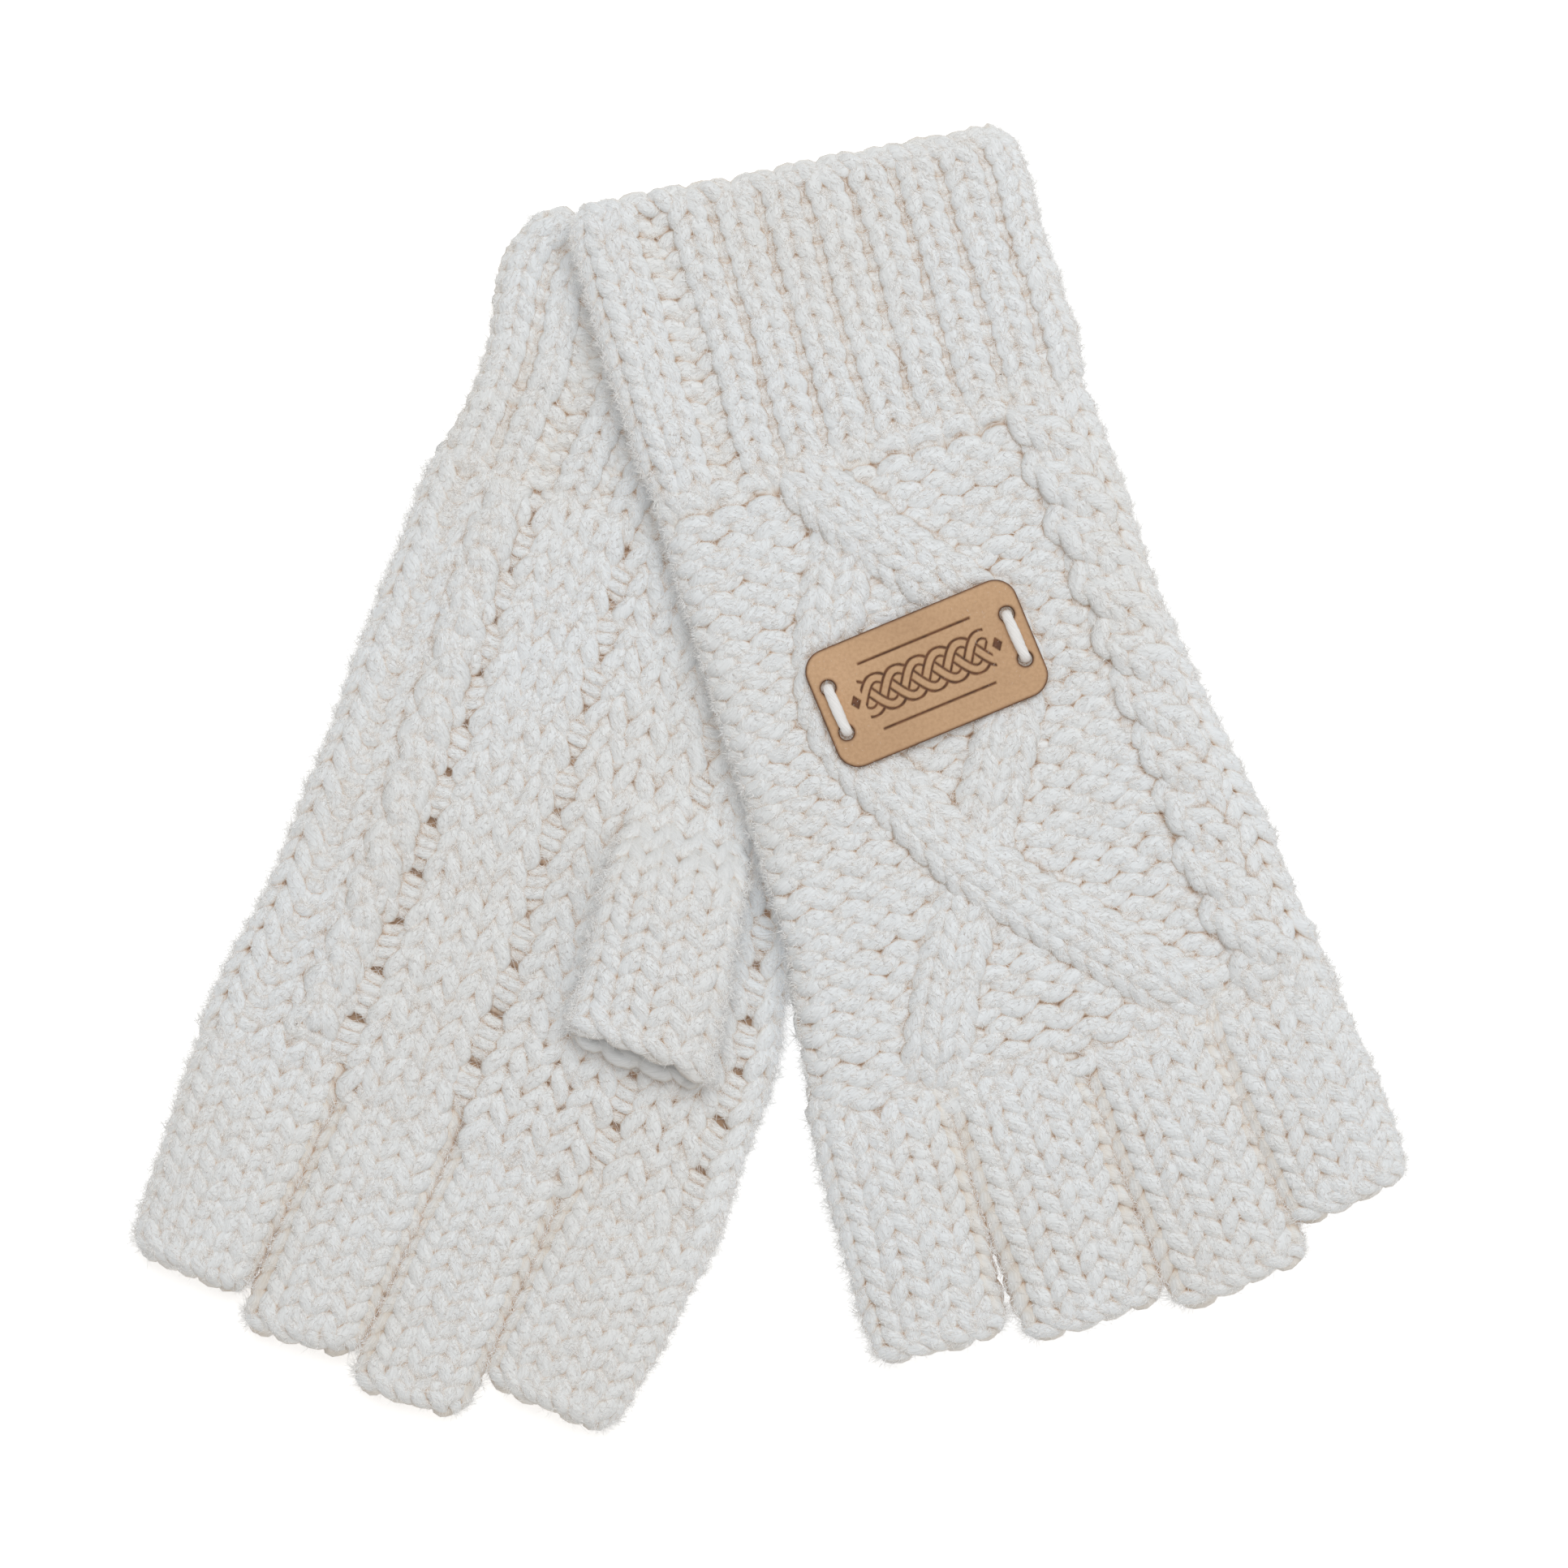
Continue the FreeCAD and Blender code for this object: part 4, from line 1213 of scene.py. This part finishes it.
def label_lid(x, y):
    """How high the knit of the right back may stand: it is pressed flat under the label."""
    world = GLOVES["right"].to_world(x, y, 0 * x)
    local = turned(world, LABEL.turn) - LABEL.middle
    sheet = GLOVES["right"].middle + SHEET_HALF_GAP
    room_for_yarn = LABEL.bottom - sheet - YARN_RADIUS - 0.1
    away = np.maximum(LABEL.distance(local[..., 0], local[..., 1]), 0)
    return room_for_yarn + 0.3 * away


def label_material_distance(x, y):
    """Signed distance to the leather's edge, holes included; negative inside the leather."""
    gap = LABEL.distance(x, y)
    for hole_x in (-HOLE_ACROSS, HOLE_ACROSS):
        for hole_y in (-HOLE_ALONG, HOLE_ALONG):
            gap = np.maximum(gap, HOLE_RADIUS - np.hypot(x - hole_x, y - hole_y))
    return gap


def engraving(x, y):
    """0 on the plain face, 1 in the burnt lines: a plait between two ruled lines."""
    cut = np.zeros_like(x)
    phases = [TAU * x / PLAIT_PERIOD + shift for shift in (0.0, TAU / 3, 2 * TAU / 3)]
    lines = [PLAIT_SWING * np.sin(phase) for phase in phases]
    slopes = [np.sqrt(1 + (PLAIT_SWING * TAU / PLAIT_PERIOD * np.cos(phase)) ** 2) for phase in phases]
    heights = [np.sin(2 * phase) for phase in phases]
    gaps = [np.abs(y - line) / slope for line, slope in zip(lines, slopes)]
    for number in range(3):
        outline = np.abs(gaps[number] - PLAIT_HALF_WIDTH)
        line_cut = 1 - np.clip((outline - LINE_HALF_WIDTH) / LINE_HALF_WIDTH, 0, 1)
        for other in range(3):
            if other != number:
                hidden = (gaps[other] < PLAIT_HALF_WIDTH + 0.1) & (heights[other] > heights[number])
                line_cut = np.where(hidden, 0.0, line_cut)
        cut = np.maximum(cut, line_cut)
    cut = np.where(np.abs(x) < PLAIT_LENGTH / 2, cut, 0.0)
    for ruled in (-RULED_LINE, RULED_LINE):
        stroke = np.maximum(np.abs(y - ruled) - 0.16, (np.abs(x) - PLAIT_LENGTH / 2 + 1.5) * 0.5)
        cut = np.maximum(cut, 1 - np.clip(stroke / LINE_HALF_WIDTH, 0, 1))
    for centre in (-PLAIT_LENGTH / 2 - 1.5, PLAIT_LENGTH / 2 + 1.5):
        diamond = np.abs(x - centre) + 0.7 * np.abs(y) - 0.9
        cut = np.maximum(cut, 1 - np.clip(diamond / LINE_HALF_WIDTH, 0, 1))
    return cut


def build_label():
    """The leather tag: a bevelled slab with punched holes and real engraved grooves."""
    count_x = int(LABEL.length / LABEL_STEP) + 3
    count_y = int(LABEL.width / LABEL_STEP) + 3
    x, y = np.meshgrid(
        (np.arange(count_x) - (count_x - 1) / 2) * LABEL_STEP,
        (np.arange(count_y) - (count_y - 1) / 2) * LABEL_STEP, indexing="ij")
    inside = label_material_distance(x, y) < 0
    for _ in range(3):
        gap = label_material_distance(x, y)
        slope_x = (label_material_distance(x + 0.01, y) - gap) / 0.01
        slope_y = (label_material_distance(x, y + 0.01) - gap) / 0.01
        x = np.where(inside, x, x - gap * slope_x)
        y = np.where(inside, y, y - gap * slope_y)
    index = np.arange(x.size).reshape(x.shape)
    cells = np.stack([index[:-1, :-1], index[1:, :-1], index[1:, 1:], index[:-1, 1:]], axis=-1)
    cells = cells.reshape(-1, 4)
    cells = cells[inside.ravel()[cells].any(axis=1)]
    used, packed = np.unique(cells, return_inverse=True)
    cells = packed.reshape(-1, 4)
    x, y = x.ravel()[used], y.ravel()[used]
    rim = -label_material_distance(x, y)
    bevel = LABEL_BEVEL * (1 - np.sqrt(np.clip(1 - (1 - np.clip(rim / LABEL_BEVEL, 0, 1)) ** 2, 0, 1)))
    cut = engraving(x, y)
    top = LABEL.to_world(x, y, LABEL.thickness - bevel - ENGRAVING_DEPTH * cut)
    bottom = LABEL.to_world(x, y, 0.5 * bevel)
    burn = np.maximum(cut, np.exp(-(rim / LABEL_BEVEL) ** 2))
    edges = np.concatenate([cells[:, [a, (a + 1) % 4]] for a in range(4)])
    keys = edges.min(axis=1).astype(np.int64) * len(used) + edges.max(axis=1)
    _, first, repeats = np.unique(keys, return_index=True, return_counts=True)
    border = edges[first[repeats == 1]]
    walls = np.stack(
        [border[:, 1], border[:, 0], border[:, 0] + len(used), border[:, 1] + len(used)], axis=-1)
    flat = np.stack([x / LABEL.length + 0.5, y / LABEL.length + 0.25], axis=-1) * 0.98 + 0.01
    under = flat + np.array([0.0, 0.5])
    parts = MeshParts()
    both = np.concatenate([flat, under])
    faces = np.concatenate([cells, cells[:, ::-1] + len(used), walls])
    # The underside and the lower edge walls are drawn darker, at least 0.6 of the way to the scorched
    # colour.
    parts.add(
        np.concatenate([top, bottom]), np.concatenate([burn, 0.6 + 0.4 * burn]),
        [(faces, both[faces.ravel()], both[faces.ravel()])])
    obj = parts.make("leather_label", LEATHER)
    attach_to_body(obj, "right_hand")
    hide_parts("label")


def build_tie(end, side):
    """A white cord that comes up through one hole and goes down through the other."""
    corners = [(-4.45, -0.9), (-4.45, 1.6), (-3.9, 2.35), (-2.6, 2.5), (2.6, 2.5), (3.9, 2.35),
               (4.45, 1.6), (4.45, -0.9)]
    run = np.linspace(0, len(corners) - 1, 60)
    y = np.interp(run, np.arange(len(corners)), [corner[0] for corner in corners])
    z = np.interp(run, np.arange(len(corners)), [corner[1] for corner in corners])
    for _ in range(6):
        y[1:-1] = (y[:-2] + 2 * y[1:-1] + y[2:]) / 4
        z[1:-1] = (z[:-2] + 2 * z[1:-1] + z[2:]) / 4
    z = np.minimum(z, TIE_TOP)
    points = LABEL.to_world(side * HOLE_ACROSS + 0.12 * np.sin(run), y, z)
    normals = LABEL.to_world(side * HOLE_ACROSS + 0 * y, y + 0.3 * y, z + 1.0) - LABEL.to_world(
        side * HOLE_ACROSS + 0 * y, y, z)
    yarn = YarnMesh()
    yarn.add(points[None], normals[None], np.full((1, 60), TIE_RADIUS), np.full((1, 60), 0.3), sides=16)
    obj = yarn.build(f"label_tie_{end}_cord", WHITE)
    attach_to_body(obj, "right_hand")
    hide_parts(f"label_tie_{end}")


LABEL = LabelFrame()
build_label()
build_tie("little_end", -1)
build_tie("thumb_end", 1)
build_left()
build_right()
for glove_number, glove_name in enumerate(("left", "right")):
    knit_sleeve(glove_name, "thumb", 31 + glove_number)
    for finger_number, finger_name in enumerate(FINGERS):
        knit_sleeve(glove_name, finger_name, 41 + 10 * glove_number + finger_number)


# ---------------------------------------------------------------- room

def area_light(name, place, width, power, colour):
    """A square light that faces the pair."""
    data = bpy.data.lights.new(name, "AREA")
    data.shape = "SQUARE"
    data.size = width
    data.energy = power
    data.color = colour
    light = bpy.data.objects.new(name, data)
    light.location = place
    light.rotation_mode = "QUATERNION"
    light.rotation_quaternion = (-Vector(place)).to_track_quat("-Z", "Y")
    bpy.context.scene.collection.objects.link(light)


def floor():
    mesh = bpy.data.meshes.new("floor")
    half = 6.0
    corners = [(-half, -half, 0), (half, -half, 0), (half, half, 0), (-half, half, 0)]
    mesh.from_pydata(corners, [], [(0, 1, 2, 3)])
    nodes = Nodes("pale_floor")
    mesh.materials.append(nodes.finish(
        (0.93, 0.93, 0.93, 1), 0.9, Emission_Color=(1, 1, 1, 1), Emission_Strength=0.46))
    obj = bpy.data.objects.new("floor", mesh)
    bpy.context.scene.collection.objects.link(obj)


def room():
    world = bpy.data.worlds.new("studio")
    world.use_nodes = True
    world.node_tree.nodes["Background"].inputs["Color"].default_value = (1.0, 0.935, 0.86, 1)
    world.node_tree.nodes["Background"].inputs["Strength"].default_value = 0.35
    bpy.context.scene.world = world
    floor()
    area_light("key", (0.08, 0.6, 1.7), 1.1, 16.6, (0.955, 0.985, 1.0))
    area_light("fill", (1.1, -0.6, 1.5), 1.4, 5, (0.98, 0.99, 1.0))
    bpy.context.scene.view_settings.view_transform = "Standard"


def camera():
    """Straight above the pair, with the cuffs towards the top of the picture."""
    view_width = 0.2898
    subject_height = 0.012
    distance = 1.4
    data = bpy.data.cameras.new("camera")
    data.sensor_width = 36.0
    data.lens = data.sensor_width * (distance - subject_height) / view_width
    obj = bpy.data.objects.new("camera", data)
    obj.location = (0.0024, -0.0014, distance)
    bpy.context.scene.collection.objects.link(obj)
    bpy.context.scene.camera = obj


room()
camera()
